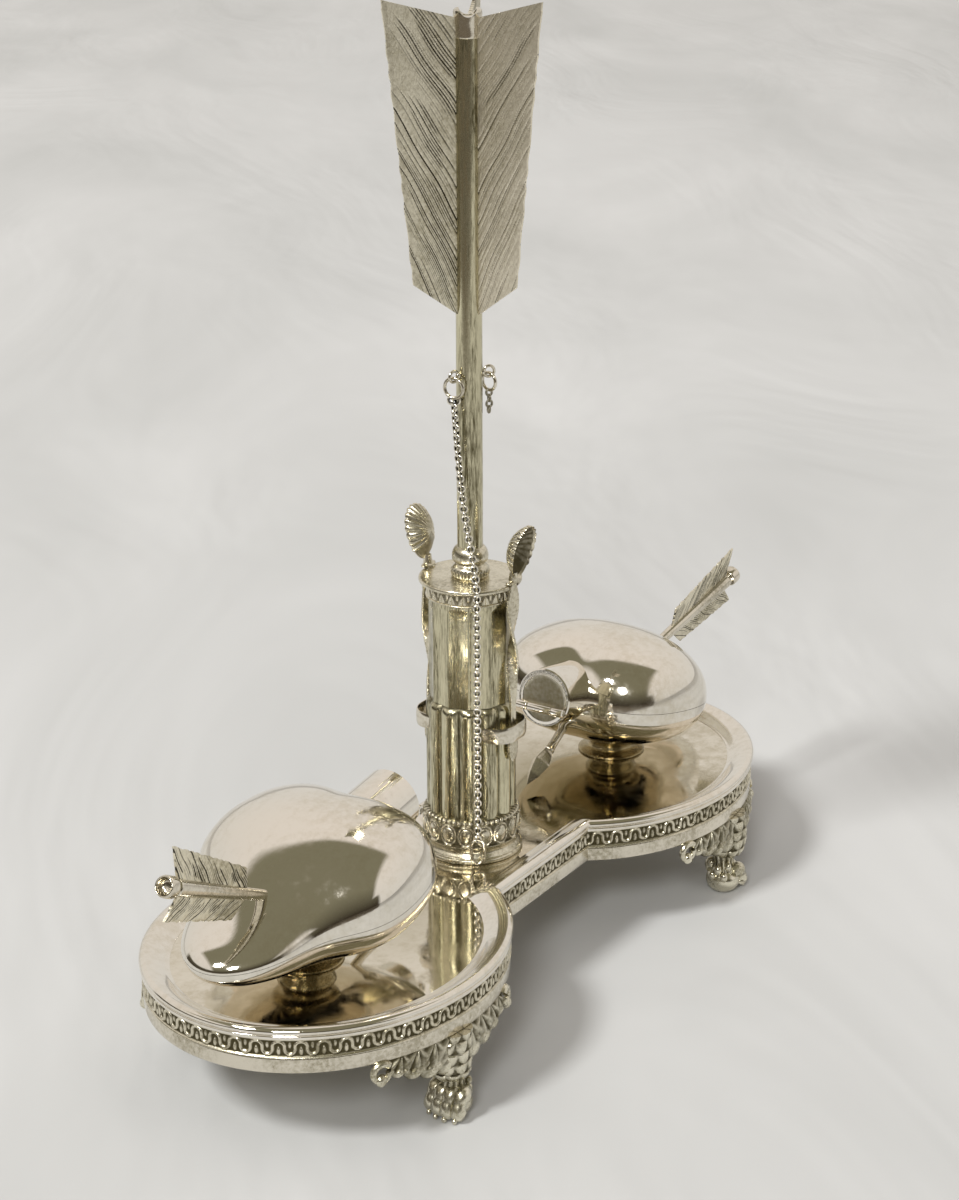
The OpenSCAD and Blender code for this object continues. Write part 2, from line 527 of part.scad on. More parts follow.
module arrowhead(s) color(silver) difference() {
    on_arrow(s) translate([0, 0, -nozzle_l - (s > 0 ? 12.5 : 6.5)]) rotate([0, s > 0 ? -19 : 8, 0]) {
        translate([0, 0, -6]) cylinder(r = 1.4, h = 13, $fn = 16);
        translate([0, 0, -20]) for (k = [0, 90]) rotate([90, 0, k]) translate([0, 0, -0.6]) linear_extrude(1.2)
            polygon([[0, 0], [2.4, 4], [3.6, 8.5], [2.4, 12.5], [0, 15], [-2.4, 12.5], [-3.6, 8.5], [-2.4, 4]]);
    }
    heart_frame(s) heart_half(-1, 0);
    heart_frame(s) translate([-nozzle_l - 2, 0, nozzle_up]) rotate([0, 90, 0]) cylinder(r = nozzle_r, h = 25, $fn = 40);
}

// Inside the bowl a plate carries the round glass; the lid closes over both.
glass_top = -1.6;
glass_low = -0.78 * (bowl_h - heart_t);
module well_plate(s) color(silver) heart_frame(s) difference() {
    intersection() {
        translate([-34, -36, glass_top - 2.4]) cube([80, 72, 1]);
        heart_half(-1, heart_t);
    }
    translate([0, 0, glass_top - 3]) cylinder(r = 13.6, h = 3, $fn = 40);
}
module well_glass(s) color(glass) heart_frame(s) rotate_extrude($fn = view_fn)
    polygon([[0, glass_low], [11, glass_low], [13.3, glass_low + 2.5], [13.3, glass_top - 1.4], [16, glass_top - 1.4], [16, glass_top],
        [12, glass_top], [12, glass_low + 3], [10.2, glass_low + 1.5], [0, glass_low + 1.5]]);

top_plate();
rim_moulding();
frieze_strip();
lower_band();
mirror([1, 0, 0]) foot();  // foot_left_near
foot();  // foot_right_near
rotate([0, 0, 180]) foot();  // foot_left_far
mirror([0, 1, 0]) foot();  // foot_right_far
mirror([1, 0, 0]) leaf_spray();  // leaf_spray_left_near
leaf_spray();  // leaf_spray_right_near
rotate([0, 0, 180]) leaf_spray();  // leaf_spray_left_far
mirror([0, 1, 0]) leaf_spray();  // leaf_spray_right_far
quiver_foot();
quiver_sheath();
quiver_tube();
quiver_cap();
quiver_nut();
strap(-1);  // spoon_strap_near
strap(1);  // spoon_strap_far
arrow_collar();
arrow_shaft();
arrow_nock();
arrow_vane_left();
arrow_vane_right();
arrow_vane_back();
chain_lug_left();
chain_lug_right();
chain_ring_left();
chain_ring_right();
long_chain();
chain_end_clip();
short_chain();
spoon_near_bowl();
spoon_near_stem();
spoon_far_bowl();
spoon_far_stem();
heart_foot(-1);  // left_heart_foot
heart_nut(-1);  // left_heart_nut
heart_bowl(-1);  // left_heart_bowl
heart_lid(-1);  // left_heart_lid
hinge_pin(-1);  // left_hinge_pin
lid_arrow_shaft(-1);  // left_lid_arrow_shaft
lid_arrow_vanes(-1);  // left_lid_arrow_vanes
arrowhead(-1);  // left_arrowhead
well_plate(-1);  // left_well_plate
well_glass(-1);  // left_ink_glass
heart_foot(1);  // right_heart_foot
heart_nut(1);  // right_heart_nut
heart_bowl(1);  // right_heart_bowl
heart_lid(1);  // right_heart_lid
hinge_pin(1);  // right_hinge_pin
lid_arrow_shaft(1);  // right_lid_arrow_shaft
lid_arrow_vanes(1);  // right_lid_arrow_vanes
arrowhead(1);  // right_arrowhead
well_plate(1);  // right_well_plate
well_glass(1);  // right_sand_glass
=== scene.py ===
# %% [markdown]
# # Silver desk inkstand with two heart boxes, a quiver and a tall arrow
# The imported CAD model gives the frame: every piece, its size, its place and how it moves.
# This script dresses it. Each CAD piece is rebuilt as a smooth or embossed surface that fills
# the same space and rides on the same body, and each finish is procedural.
# Lengths are in millimetres until a mesh is made, where they turn into metres.

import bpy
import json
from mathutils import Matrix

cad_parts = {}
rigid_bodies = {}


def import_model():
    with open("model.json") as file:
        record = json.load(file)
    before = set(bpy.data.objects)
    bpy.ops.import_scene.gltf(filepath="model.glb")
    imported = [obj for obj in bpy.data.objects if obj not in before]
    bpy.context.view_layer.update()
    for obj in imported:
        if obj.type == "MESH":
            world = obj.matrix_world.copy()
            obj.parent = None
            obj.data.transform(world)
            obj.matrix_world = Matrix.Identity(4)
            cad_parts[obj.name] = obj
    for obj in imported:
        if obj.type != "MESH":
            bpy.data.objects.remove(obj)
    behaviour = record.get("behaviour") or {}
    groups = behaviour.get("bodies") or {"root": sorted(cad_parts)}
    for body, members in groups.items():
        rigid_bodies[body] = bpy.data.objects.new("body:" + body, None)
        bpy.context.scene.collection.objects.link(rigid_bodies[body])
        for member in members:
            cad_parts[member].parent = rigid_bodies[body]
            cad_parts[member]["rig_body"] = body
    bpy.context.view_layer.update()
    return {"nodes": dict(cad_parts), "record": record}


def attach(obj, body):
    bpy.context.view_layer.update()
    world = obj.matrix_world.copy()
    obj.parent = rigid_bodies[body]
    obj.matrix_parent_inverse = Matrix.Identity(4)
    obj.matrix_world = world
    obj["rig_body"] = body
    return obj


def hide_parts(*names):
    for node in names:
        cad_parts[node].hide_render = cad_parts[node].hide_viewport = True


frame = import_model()
NODE_BODY = {n: o["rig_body"] for n, o in frame["nodes"].items()}

# %% Tools used all through
import json
import math

import bmesh
import bpy
import numpy as np
from mathutils import Matrix, Vector

MM = 0.001
TAU = 2 * math.pi

# %% [markdown]
# ## Forms
# A form is one closed surface: its points, its faces and a value from 0, deep, to 1, high, at each point.
# The real pieces are cast, raised or turned, so a surface here is a grid of points computed all at once
# from a formula, then closed at its ends or at its border. Writing the grid with numpy keeps the formula in
# view.

# %% Grids, closed tubes and thin sheets
def grid_of(*values):
    """Arrays of one value per row, per column or per point, spread over one grid and stacked last."""
    return np.stack(np.broadcast_arrays(*values), -1)


def angles(count):
    """Equal steps round the circle, from 0."""
    return np.linspace(0, TAU, count, endpoint=False)


def unit(v):
    """Vectors made one long."""
    return v / np.linalg.norm(v, axis=-1, keepdims=True)


def walked(path):
    """The length walked along a path up to each of its points."""
    return np.concatenate([[0], np.cumsum(np.linalg.norm(np.diff(path, axis=0), axis=1))])


def quads(rows, cols, wrap=False, close=False):
    """Faces of a grid whose point (i, j) has the number i * cols + j; wrap joins the last column to the
    first, close the last row to the first."""
    i = np.arange(rows if close else rows - 1)[:, None]
    j = np.arange(cols if wrap else cols - 1)
    a, b, k = i * cols, (i + 1) % rows * cols, (j + 1) % cols
    return grid_of(a + j, a + k, b + k, b + j).reshape(-1, 4)


def heights(high, count):
    """The values of a form as one row, 1 everywhere if none are given."""
    return np.ones(count) if high is None else np.asarray(high, float).reshape(-1)


def tube(grid, high=None):
    """A closed form from rows of points that each run round a loop; a fan closes the first and the last."""
    rows, cols = grid.shape[:2]
    n, last = rows * cols, (rows - 1) * cols
    value = heights(high, n)
    value = np.append(value, [value[:cols].mean(), value[-cols:].mean()])
    j = np.arange(cols)
    k = (j + 1) % cols
    fans = np.vstack([grid_of(k, j, n), grid_of(last + j, last + k, n + 1)])
    points = np.vstack([grid.reshape(-1, 3), grid[0].mean(0), grid[-1].mean(0)])
    return points, [quads(rows, cols, True), fans], value


def sheet(top, under, high=None):
    """A thin closed form between two grids of the same shape, joined all round their border."""
    rows, cols = top.shape[:2]
    n = rows * cols
    face = quads(rows, cols)
    number = np.arange(n).reshape(rows, cols)
    border = np.concatenate([number[0, :-1], number[:-1, -1], number[-1, :0:-1], number[:0:-1, 0]])
    after = np.roll(border, -1)
    edge = np.stack([after, border, border + n, after + n], 1)
    points = np.vstack([top.reshape(-1, 3), under.reshape(-1, 3)])
    return points, [face, face[:, ::-1] + n, edge], np.tile(heights(high, n), 2)


def ring(grid, high=None):
    """A closed form from loops that follow each other in a circle: the last row joins the first."""
    rows, cols = grid.shape[:2]
    return grid.reshape(-1, 3), [quads(rows, cols, True, True)], heights(high, rows * cols)


def joined(forms):
    """Several forms as one."""
    starts = np.cumsum([0] + [len(form[0]) for form in forms])
    faces = [face + start for form, start in zip(forms, starts) for face in form[1]]
    return np.vstack([form[0] for form in forms]), faces, np.concatenate([form[2] for form in forms])


def moved(form, matrix=np.eye(3), shift=(0, 0, 0)):
    """The form turned by a 3 by 3 matrix, then shifted."""
    return form[0] @ np.asarray(matrix).T + np.asarray(shift, float), form[1], form[2]


def turn(axis, degrees):
    """The matrix that turns about a main axis, 0 for X, 1 for Y and 2 for Z."""
    return np.array(Matrix.Rotation(math.radians(degrees), 3, "XYZ"[axis]))


def ease(x):
    """Smooth step: 0 below 0, 1 above 1, and 3x2 - 2x3 between them."""
    x = np.clip(x, 0, 1)
    return x * x * (3 - 2 * x)


def bump_of(d):
    """A round hill: 1 at distance 0, 0 from distance 1."""
    return np.sqrt(np.clip(1 - d * d, 0, 1))


# %% Turned shapes and beads
def rounded(profile, times=2):
    """Chaikin's corner cutting: each corner gives way to two points, a quarter along its sides. Ends stay."""
    p = np.asarray(profile, float)
    for _ in range(times):
        a, b = p[:-1], p[1:]
        cut = np.stack([a * 0.75 + b * 0.25, a * 0.25 + b * 0.75], 1).reshape(-1, p.shape[1])
        p = np.vstack([p[:1], cut[1:-1], p[-1:]])
    return p


def about_z(r, a, z, high=None):
    """The closed form whose skin lies at radius r, angle a and height z."""
    return tube(grid_of(r * np.cos(a), r * np.sin(a), z), high)


def lathe(profile, steps=96, relief=None):
    """A profile of (radius, height) pairs turned about Z. relief(angle, height) adds to the radius."""
    r, z = np.hsplit(np.asarray(profile, float), 2)
    a = angles(steps)
    lift, high = relief(a, z) if relief else (0, None)
    return about_z(r + lift, a, z, high)


def ball(radii, centre=(0, 0, 0), rows=10, cols=16):
    """An ellipsoid, as rows of latitude from pole to pole."""
    u = np.linspace(0.06, math.pi - 0.06, rows)[:, None]
    return moved(about_z(np.sin(u), angles(cols), np.cos(u)), np.diag(radii), centre)


def torus(big, wire, steps=40, sides=14):
    """A ring of round wire lying flat: one circle carried round another. Its inside gets low values, which the
    long chain's finish paints as shade where the links meet.
    """
    u, v = angles(steps)[:, None], angles(sides)
    r = big + wire * np.cos(v)
    return ring(grid_of(r * np.cos(u), r * np.sin(u), wire * np.sin(v)), 0.5 + 0.5 * np.cos(v) + 0 * u)


def along(path, section, up=(0, 0, 1), grow=1.0):
    """A flat section of (side, rise) pairs carried along a path; grow scales it, point by point."""
    ahead = unit(np.gradient(path, axis=0))
    side = unit(np.cross(ahead, up))
    across = section[:, :1] * side[:, None] + section[:, 1:] * np.cross(side, ahead)[:, None]
    return tube(path[:, None] + np.broadcast_to(grow, len(path))[:, None, None] * across)


def circle(radius, sides=14):
    """Points round a circle, as (side, rise) pairs."""
    a = angles(sides)
    return np.stack([radius * np.cos(a), radius * np.sin(a)], 1)


def smooth_path(knots, steps):
    """A curve through the knots, each coordinate a cubic spline in the length walked (natural ends)."""
    k = np.asarray(knots, float)
    s = walked(k)
    h, n = np.diff(s), len(k)
    m, right = np.eye(n), np.zeros_like(k)
    for i in range(1, n - 1):
        m[i, i - 1:i + 2] = h[i - 1], 2 * (h[i - 1] + h[i]), h[i]
        right[i] = 6 * ((k[i + 1] - k[i]) / h[i] - (k[i] - k[i - 1]) / h[i - 1])
    curve = np.linalg.solve(m, right)
    t = np.linspace(0, s[-1], steps)
    i = np.clip(np.searchsorted(s, t, side="right") - 1, 0, n - 2)
    a, b, w = (s[i + 1] - t)[:, None], (t - s[i])[:, None], h[i][:, None]
    bend = (curve[i] * a ** 3 + curve[i + 1] * b ** 3) / (6 * w)
    return bend + (k[i] / w - curve[i] * w / 6) * a + (k[i + 1] / w - curve[i + 1] * w / 6) * b


print("form tools ready")

# %% [markdown]
# ## Finishes
# The stand is silver: polished where hands and cloths reach it, and dark and warm where they don't.
# One node group gives the film of tarnish, one the dark of the recesses, which also paints shade on the heart
# rims and inside the chain links, one the fine scratches.
# Each material keeps its own shader and mixes these groups with its own values.

# %% Nodes and groups
def feed(made, **values):
    """Gives a node its settings, marked set_, and its inputs, by name with _ for a space or by number as
    i0, i1: a socket is linked, anything else is set."""
    for key, value in values.items():
        if key.startswith("set_"):
            setattr(made, key[4:], value)
            continue
        socket = made.inputs[int(key[1:]) if key[1:].isdigit() else key.replace("_", " ")]
        if isinstance(value, bpy.types.NodeSocket):
            made.id_data.links.new(value, socket)
        else:
            socket.default_value = value


def node(tree, kind, get=None, **values):
    """A new shader node fed with values; returns its output called get, or else the first one in use."""
    made = tree.nodes.new("ShaderNode" + kind)
    feed(made, **values)
    return made.outputs[get] if get else next(out for out in made.outputs if out.enabled)


def maths(tree, operation, *sources):
    """The result of a Math node on sockets or numbers."""
    return node(tree, "Math", set_operation=operation, **{f"i{k}": value for k, value in enumerate(sources)})


def span(tree, source, low=0.0, high=1.0, start=0.0, end=1.0, kind="LINEAR"):
    """The source brought from the range low to high to the range start to end."""
    return node(tree, "MapRange", set_interpolation_type=kind, Value=source,
                From_Min=low, From_Max=high, To_Min=start, To_Max=end)


def mix(tree, share, first, second):
    """From the first colour to the second; each is a socket or (red, green, blue)."""
    first, second = ((*c, 1) if isinstance(c, tuple) else c for c in (first, second))
    return node(tree, "Mix", set_data_type="RGBA", Factor=share, A=first, B=second)


def group(name, inputs, outputs):
    """A node group with its named inputs, each a number or a colour; returns it, its inputs and its end."""
    tree = bpy.data.node_groups.new(name, "ShaderNodeTree")
    for key, value in inputs.items():
        kind = FLOAT if isinstance(value, float) else COLOUR
        tree.interface.new_socket(key, in_out="INPUT", socket_type=kind).default_value = value
    for key, kind in outputs.items():
        tree.interface.new_socket(key, in_out="OUTPUT", socket_type=kind)
    return tree, tree.nodes.new("NodeGroupInput").outputs, tree.nodes.new("NodeGroupOutput")


COLOUR, FLOAT = "NodeSocketColor", "NodeSocketFloat"

# %% Tarnish film: two sizes of soft blotch, dark and warm where they meet
film, given, ends = group(
    "tarnish_film",
    {"Clean": (0.8, 0.8, 0.8, 1), "Dull": (0.3, 0.27, 0.18, 1), "Amount": 0.3, "Gloss": 0.1, "Scale": 40.0,
     "Stretch": 1.0},
    {"Color": COLOUR, "Roughness": FLOAT},
)
streaks = node(film, "CombineXYZ", X=1.0, Y=1.0, Z=given["Stretch"])
place = node(film, "VectorMath", set_operation="MULTIPLY", i0=node(film, "TexCoord", "Object"), i1=streaks)
broad = node(film, "TexNoise", Vector=place, Scale=given["Scale"], Detail=3.0, Roughness=0.55)
fine_scale = maths(film, "MULTIPLY", given["Scale"], 14.0)
fine = node(film, "TexNoise", Vector=place, Scale=fine_scale, Detail=4.0, Roughness=0.7)
blotch = span(film, maths(film, "MULTIPLY", broad, fine), 0.16, 0.42, kind="SMOOTHSTEP")
share = maths(film, "MULTIPLY", blotch, given["Amount"])
feed(ends, Color=mix(film, share, given["Clean"], given["Dull"]),
     Roughness=span(film, share, start=given["Gloss"], end=0.42))

# %% Dark where the stored relief is low, broken up by fine noise: tarnish in the recesses, and painted shade on the heart rims and inside the chain links
recess, given, ends = group(
    "recess_tarnish_and_painted_shade",
    {"Color": (0.8, 0.8, 0.8, 1), "Dark": (0.05, 0.045, 0.03, 1), "Roughness": 0.2, "Low": 0.1, "High": 0.7},
    {"Color": COLOUR, "Roughness": FLOAT},
)
grime = node(recess, "TexNoise", Vector=node(recess, "TexCoord", "Object"), Scale=900.0, Detail=2.0)
height = node(recess, "Attribute", "Fac", set_attribute_name="relief")
height = maths(recess, "ADD", height, span(recess, grime, start=-0.18, end=0.18))
clean = span(recess, height, given["Low"], given["High"], kind="SMOOTHSTEP")
feed(ends, Color=mix(recess, clean, given["Dark"], given["Color"]),
     Roughness=span(recess, clean, start=0.55, end=given["Roughness"]))

# %% Handwork: slow waves from the hammer and fine scratches from the cloth
handwork, given, ends = group("handwork", {"Waves": 0.5, "Scratches": 0.2}, {"Height": FLOAT})
place = node(handwork, "TexCoord", "Object")
wave = node(handwork, "TexNoise", Vector=place, Scale=45.0, Detail=1.0)
drawn = node(handwork, "Mapping", Vector=place, Rotation=(0.3, 0.5, 0.9), Scale=(900.0, 2600.0, 700.0))
scratch = node(handwork, "TexNoise", Vector=drawn, Scale=1.0, Detail=2.0)
wave = maths(handwork, "MULTIPLY", wave, given["Waves"])
scratch = maths(handwork, "MULTIPLY", scratch, given["Scratches"])
feed(ends, Height=maths(handwork, "ADD", wave, scratch))
print("shared effects:", [g.name for g in bpy.data.node_groups])

# %% The silver finishes
def material(name, **values):
    """A new material and its shader, with some of the shader's inputs given."""
    made = bpy.data.materials.new(name)
    made.use_nodes = True
    shader = made.node_tree.nodes["Principled BSDF"]
    feed(shader, **values)
    return made, shader


def silver(name, clean, dull, amount, gloss, scale, dark=None, low=0.0, high=0.7,
           waves=0.2, scratches=0.05, stretch=1.0):
    """A silver finish: a film of tarnish, dark where the stored relief is low (tarnish in recesses, painted
    shade on some pieces), and handwork as bump.
    """
    made, shader = material(name + "_silver", Metallic=1.0)
    tree = made.node_tree
    look = node(tree, "Group", set_node_tree=film, Clean=(*clean, 1), Dull=(*dull, 1), Amount=amount,
                Gloss=gloss, Scale=scale, Stretch=stretch).node.outputs
    if dark:
        look = node(tree, "Group", set_node_tree=recess, Dark=(*dark, 1), Low=low, High=high,
                    Color=look["Color"], Roughness=look["Roughness"]).node.outputs
    hand = node(tree, "Group", set_node_tree=handwork, Waves=waves, Scratches=scratches)
    bump = node(tree, "Bump", Strength=1.0, Distance=0.0004, Height=hand)
    feed(shader, Base_Color=look["Color"], Roughness=look["Roughness"], Normal=bump)
    return made


OLIVE = (0.22, 0.19, 0.10)
BLACK = (0.10, 0.085, 0.045)

mirror = silver("mirror", (0.86, 0.82, 0.74), (0.56, 0.48, 0.32), 0.35, 0.045, 26.0, OLIVE, high=0.9, waves=0.5,
                scratches=0.01)
polished = silver("polished", (0.78, 0.73, 0.62), OLIVE, 0.6, 0.12, 60.0, waves=0.3, scratches=0.06)
carved = silver("carved", (0.76, 0.71, 0.57), OLIVE, 0.75, 0.2, 80.0, BLACK)
cast = silver("cast", (0.80, 0.76, 0.62), OLIVE, 0.85, 0.2, 110.0, BLACK, 0.1, 0.95)
streaked = silver("streaked", (0.68, 0.635, 0.45), (0.09, 0.075, 0.03), 1.0, 0.12, 130.0, BLACK, high=0.8,
                  waves=0.1, scratches=0.03, stretch=0.10)
# The long chain: the inside of every link is painted nearly black, as shade where the links meet.
linked = silver("linked", (0.90, 0.86, 0.75), OLIVE, 0.2, 0.2, 80.0, (0.02, 0.017, 0.01), 0.25, 0.65, 0.0, 0.02)
plate_silver = silver("plate", (0.82, 0.77, 0.66), (0.42, 0.35, 0.20), 0.5, 0.03, 14.0, waves=0.25,
                      scratches=0.01)
engraved = silver("engraved", (0.86, 0.81, 0.66), (0.36, 0.32, 0.20), 0.75, 0.36, 60.0, (0.035, 0.03, 0.018),
                  0.25, 0.95, scratches=0.25)
# A paler copy of the engraved finish for the right vane: painted light on the same engraving.
engraved_lit = silver("engraved_lit", (0.93, 0.87, 0.72), (0.45, 0.41, 0.28), 0.5, 0.36, 60.0,
                          (0.12, 0.10, 0.06), 0.05, 0.8, scratches=0.25)
# A dark warm finish for the feet under the hearts: painted shade under each heart.
foot_in_painted_shade = silver("foot_in_painted_shade", (0.40, 0.33, 0.19), (0.14, 0.11, 0.05), 0.6, 0.16, 90.0)
tarnished = silver("tarnished", (0.42, 0.39, 0.31), (0.12, 0.10, 0.06), 0.7, 0.35, 120.0, scratches=0.2)
gilt = silver("gilt", (0.72, 0.55, 0.27), (0.40, 0.30, 0.14), 0.4, 0.22, 70.0, waves=0.3, scratches=0.08)

# %% The plate under the boxes goes dark and warm: some tarnish, made stronger as painted shade and painted reflection of the boxes
tree = plate_silver.node_tree
shader = tree.nodes["Principled BSDF"]
place = node(tree, "TexCoord", "Object")
folded = node(tree, "VectorMath", set_operation="ABSOLUTE", i0=place)
from_box = node(tree, "VectorMath", set_operation="DISTANCE", i0=folded, i1=(0.050, 0.0, 0.038))
patchy = node(tree, "TexNoise", Vector=place, Scale=60.0, Detail=3.0)
brown = span(tree, maths(tree, "MULTIPLY_ADD", patchy, 0.014, from_box), 0.058, 0.014, kind="SMOOTHSTEP")
# Stronger under the right box than under the left: painted shade and reflection, set for each box.
which_box = span(tree, node(tree, "SeparateXYZ", "X", i0=place), -0.01, 0.01, 0.35, 0.8)
film_colour = shader.inputs["Base Color"].links[0].from_socket
# The warm dark colour mixed in under each box is painted shade and reflection over some tarnish.
box_shade_and_tarnish = mix(tree, maths(tree, "MULTIPLY", brown, which_box), film_colour, (0.33, 0.28, 0.145))
feed(shader, Base_Color=box_shade_and_tarnish)

# %% Clear glass for the liners
clear_glass, shader = material("clear_glass", Base_Color=(0.90, 0.96, 0.95, 1), Transmission_Weight=1.0,
                               IOR=1.5)
tree = clear_glass.node_tree
smear = node(tree, "TexNoise", Vector=node(tree, "TexCoord", "Object"), Scale=160.0, Detail=3.0)
feed(shader, Roughness=span(tree, smear, start=0.02, end=0.12))
print("finishes:", [m.name for m in bpy.data.materials if m.use_nodes])

# %% [markdown]
# ## From a form to a piece
# A piece takes the place of one CAD node and rides on that node's body.
# A form may come out of its formula inside out, so the faces are turned outwards before the mesh is kept.

# %% The builder of pieces
SLOT = {s["node"]: s["material_slot"] for s in frame["record"]["subparts"]}
made_triangles = {}


def placed(name, data):
    """A new object in the scene."""
    made = bpy.data.objects.new(name, data)
    bpy.context.scene.collection.objects.link(made)
    return made


def put(name, forms, finish, stands_for, sharp=38.0):
    """Makes one mesh piece from forms in millimetres; it stands for one CAD node and rides on its body."""
    points, faces, high = joined(forms if isinstance(forms, list) else [forms])
    mesh = bpy.data.meshes.new(name)
    sizes = np.concatenate([np.full(len(f), f.shape[1]) for f in faces])
    corners = np.concatenate([f.reshape(-1) for f in faces])
    mesh.vertices.add(len(points))
    mesh.vertices.foreach_set("co", (points * MM).astype(np.float32).ravel())
    mesh.loops.add(len(corners))
    mesh.loops.foreach_set("vertex_index", corners.astype(np.int32))
    mesh.polygons.add(len(sizes))
    mesh.polygons.foreach_set("loop_start", np.concatenate([[0], np.cumsum(sizes)[:-1]]).astype(np.int32))
    mesh.update()
    relief = mesh.attributes.new("relief", "FLOAT", "POINT")
    relief.data.foreach_set("value", high.astype(np.float32))
    work = bmesh.new()
    work.from_mesh(mesh)
    bmesh.ops.recalc_face_normals(work, faces=work.faces)
    work.to_mesh(mesh)
    work.free()
    mesh.shade_smooth()
    mesh.set_sharp_from_angle(angle=math.radians(sharp))
    mesh.materials.append(finish)
    piece = placed(name, mesh)
    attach(piece, NODE_BODY[stands_for])
    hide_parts(stands_for)
    made_triangles[name] = int((sizes - 2).sum())


# %% [markdown]
# ## The base
# On the real stand a strip of silver is bent round the outline of the two lobes and the bridge: a plain band,
# an embossed frieze over it, and a moulded rim that carries the flat top plate. Each is a profile carried
# round one outline, so the outline is computed once, as two arcs of an ellipse and two straight edges.

# %% Outline of the base
LOBE_X, LOBE_A, LOBE_B, BRIDGE_W = 76.2, 57.6, 50.0, 26.0
BAND_Z, BAND_TOP, PLATE_TOP, WALL, PLATE_T = 27.5, 32.2, 38.2, 1.6, 1.2
CORNER = math.asin(BRIDGE_W / LOBE_B)


def outline(lobe_steps, bridge_steps):
    """Points, outward directions, edge number and share walked along that edge, round the base."""
    points, outward, edge, share = [], [], [], []
    for side in (1, -1):
        t = np.linspace(-(math.pi - CORNER), math.pi - CORNER, lobe_steps) + (0 if side > 0 else math.pi)
        normal = unit(np.stack([np.cos(t) / LOBE_A, np.sin(t) / LOBE_B], 1))
        for end, bridge in ((0, -side), (-1, side)):
            straight = np.array([0, bridge])
            normal[end] = (normal[end] + straight) / (1 + normal[end] @ straight)
        p = np.stack([side * LOBE_X + LOBE_A * np.cos(t), LOBE_B * np.sin(t)], 1)
        w = np.linspace(0, 1, bridge_steps + 2)[1:-1]
        points += [p, p[-1] * np.stack([1 - 2 * w, np.ones(bridge_steps)], 1)]
        outward += [normal, np.tile([0.0, side], (bridge_steps, 1))]
        edge += [np.full(lobe_steps, 1 - side), np.full(bridge_steps, 2 - side)]
        share += [walked(p) / walked(p)[-1], w]
    return tuple(np.concatenate(x) for x in (points, outward, edge, share))


def carried(profile, path, lift=0.0, high=None):
    """A closed band: the profile's (offset, height) pairs at every point of the outline, offset outwards."""
    p, n = path[0][:, None], path[1][:, None]
    profile = np.asarray(profile, float)
    offset = profile[None, :, :1] + (lift[..., None] if np.ndim(lift) else lift)
    flat = p + offset * n
    return ring(grid_of(flat[..., 0], flat[..., 1], profile[:, 1]), high)


base_path = outline(300, 40)
print("outline length:", round(walked(base_path[0])[-1], 1), "mm")

# %% [markdown]
# The lower band is plain polished sheet with its edges broken by the polishing cloth.

# %% Lower band
band = rounded([(-1.6, 27.5), (-0.4, 27.5), (0.0, 27.9), (0.0, 31.8), (-0.3, 32.2), (-1.6, 32.2)])
put("base_lower_band", carried(band, base_path), polished, "lower_band", 50)

# %% [markdown]
# The frieze is rolled from a die: a cord that climbs over and dips between the arches without a break, with
# a pointed bud standing in every arch, on a sunken ground that has gone nearly black. The height of every
# point comes from its distance to that cord and to the bud.

# %% Frieze
ARCH = 6.1
frieze_path = outline(1180, 236)
edge_no = frieze_path[2]
EDGE_LENGTH = np.array([walked(frieze_path[0][edge_no == k])[-1] for k in range(4)])
counts = np.round(EDGE_LENGTH / ARCH)


def arch_relief(x, y, pitch):
    """Relief at x from an arch's middle and y up: a round cord about the arch line, a bud and small drops."""
    x = np.abs(x)
    wide, foot = pitch * 0.27, pitch * 0.23
    top, low = 3.35, 2.65
    lower = np.where(y < low, np.hypot(x - pitch / 2, y - low) - foot, x - wide)
    line = np.abs(np.where(y > top, np.hypot(x, y - top) - wide, lower))
    cord = bump_of(line / 0.5) * 0.62
    bud = bump_of(np.hypot(x / (0.58 - 0.1 * (y - 2.1)), (y - 2.2) / 1.35)) * 0.55
    drop = bump_of(np.hypot((x - pitch / 2) / 0.5, (y - 3.9) / 1.0)) * 0.4
    edge = ease((0.55 - np.minimum(y, 5.95 - y)) / 0.15) * 0.66
    return np.maximum(np.maximum(cord, bud), np.maximum(drop, edge))


face_z = np.linspace(0.0, 6.0, 27)
pitch = EDGE_LENGTH[edge_no] / counts[edge_no]
across = (frieze_path[3] * counts[edge_no]) % 1.0 - 0.5
lift = arch_relief((across * pitch)[:, None], face_z, pitch[:, None])
profile = [*grid_of(-0.45, BAND_TOP + face_z), (-1.6, PLATE_TOP), (-1.6, BAND_TOP)]
lift = np.pad(lift, ((0, 0), (0, 2)))
high = np.where(np.arange(29) < 27, lift / 0.62, 1)
put("base_frieze", carried(profile, frieze_path, lift, high), carved, "frieze_strip", 80)
print("arches on each edge:", counts)

# %% [markdown]
# The rim is a drawn moulding: a small step, a bold round roll, a narrow channel and a long shallow cove
# that meets the plate. It is soldered over the frieze. The cove is what draws a bright line round the plate.

# %% Rim moulding
rim = rounded([(0.5, 0), (0.5, 0.8), (0.1, 0.95), (0.1, 1.2), (0.75, 1.5), (0.8, 2.3), (0.2, 3.0), (-0.9, 3.3),
               (-1.5, 3.05), (-2.1, 2.9), (-3.6, 2.35), (-5.4, 1.4), (-6.8, 0.5), (-8, 0.02), (-7.6, 0)], 3)
put("base_rim", carried(rim + [0, PLATE_TOP], base_path), mirror, "rim_moulding", 60)

# %% [markdown]
# The top plate is one flat sheet, polished like a mirror: what the photo shows on it is the boxes, the
# quiver and the tent around them. It is a grid of lines across the base, each as long as the base is wide
# there.

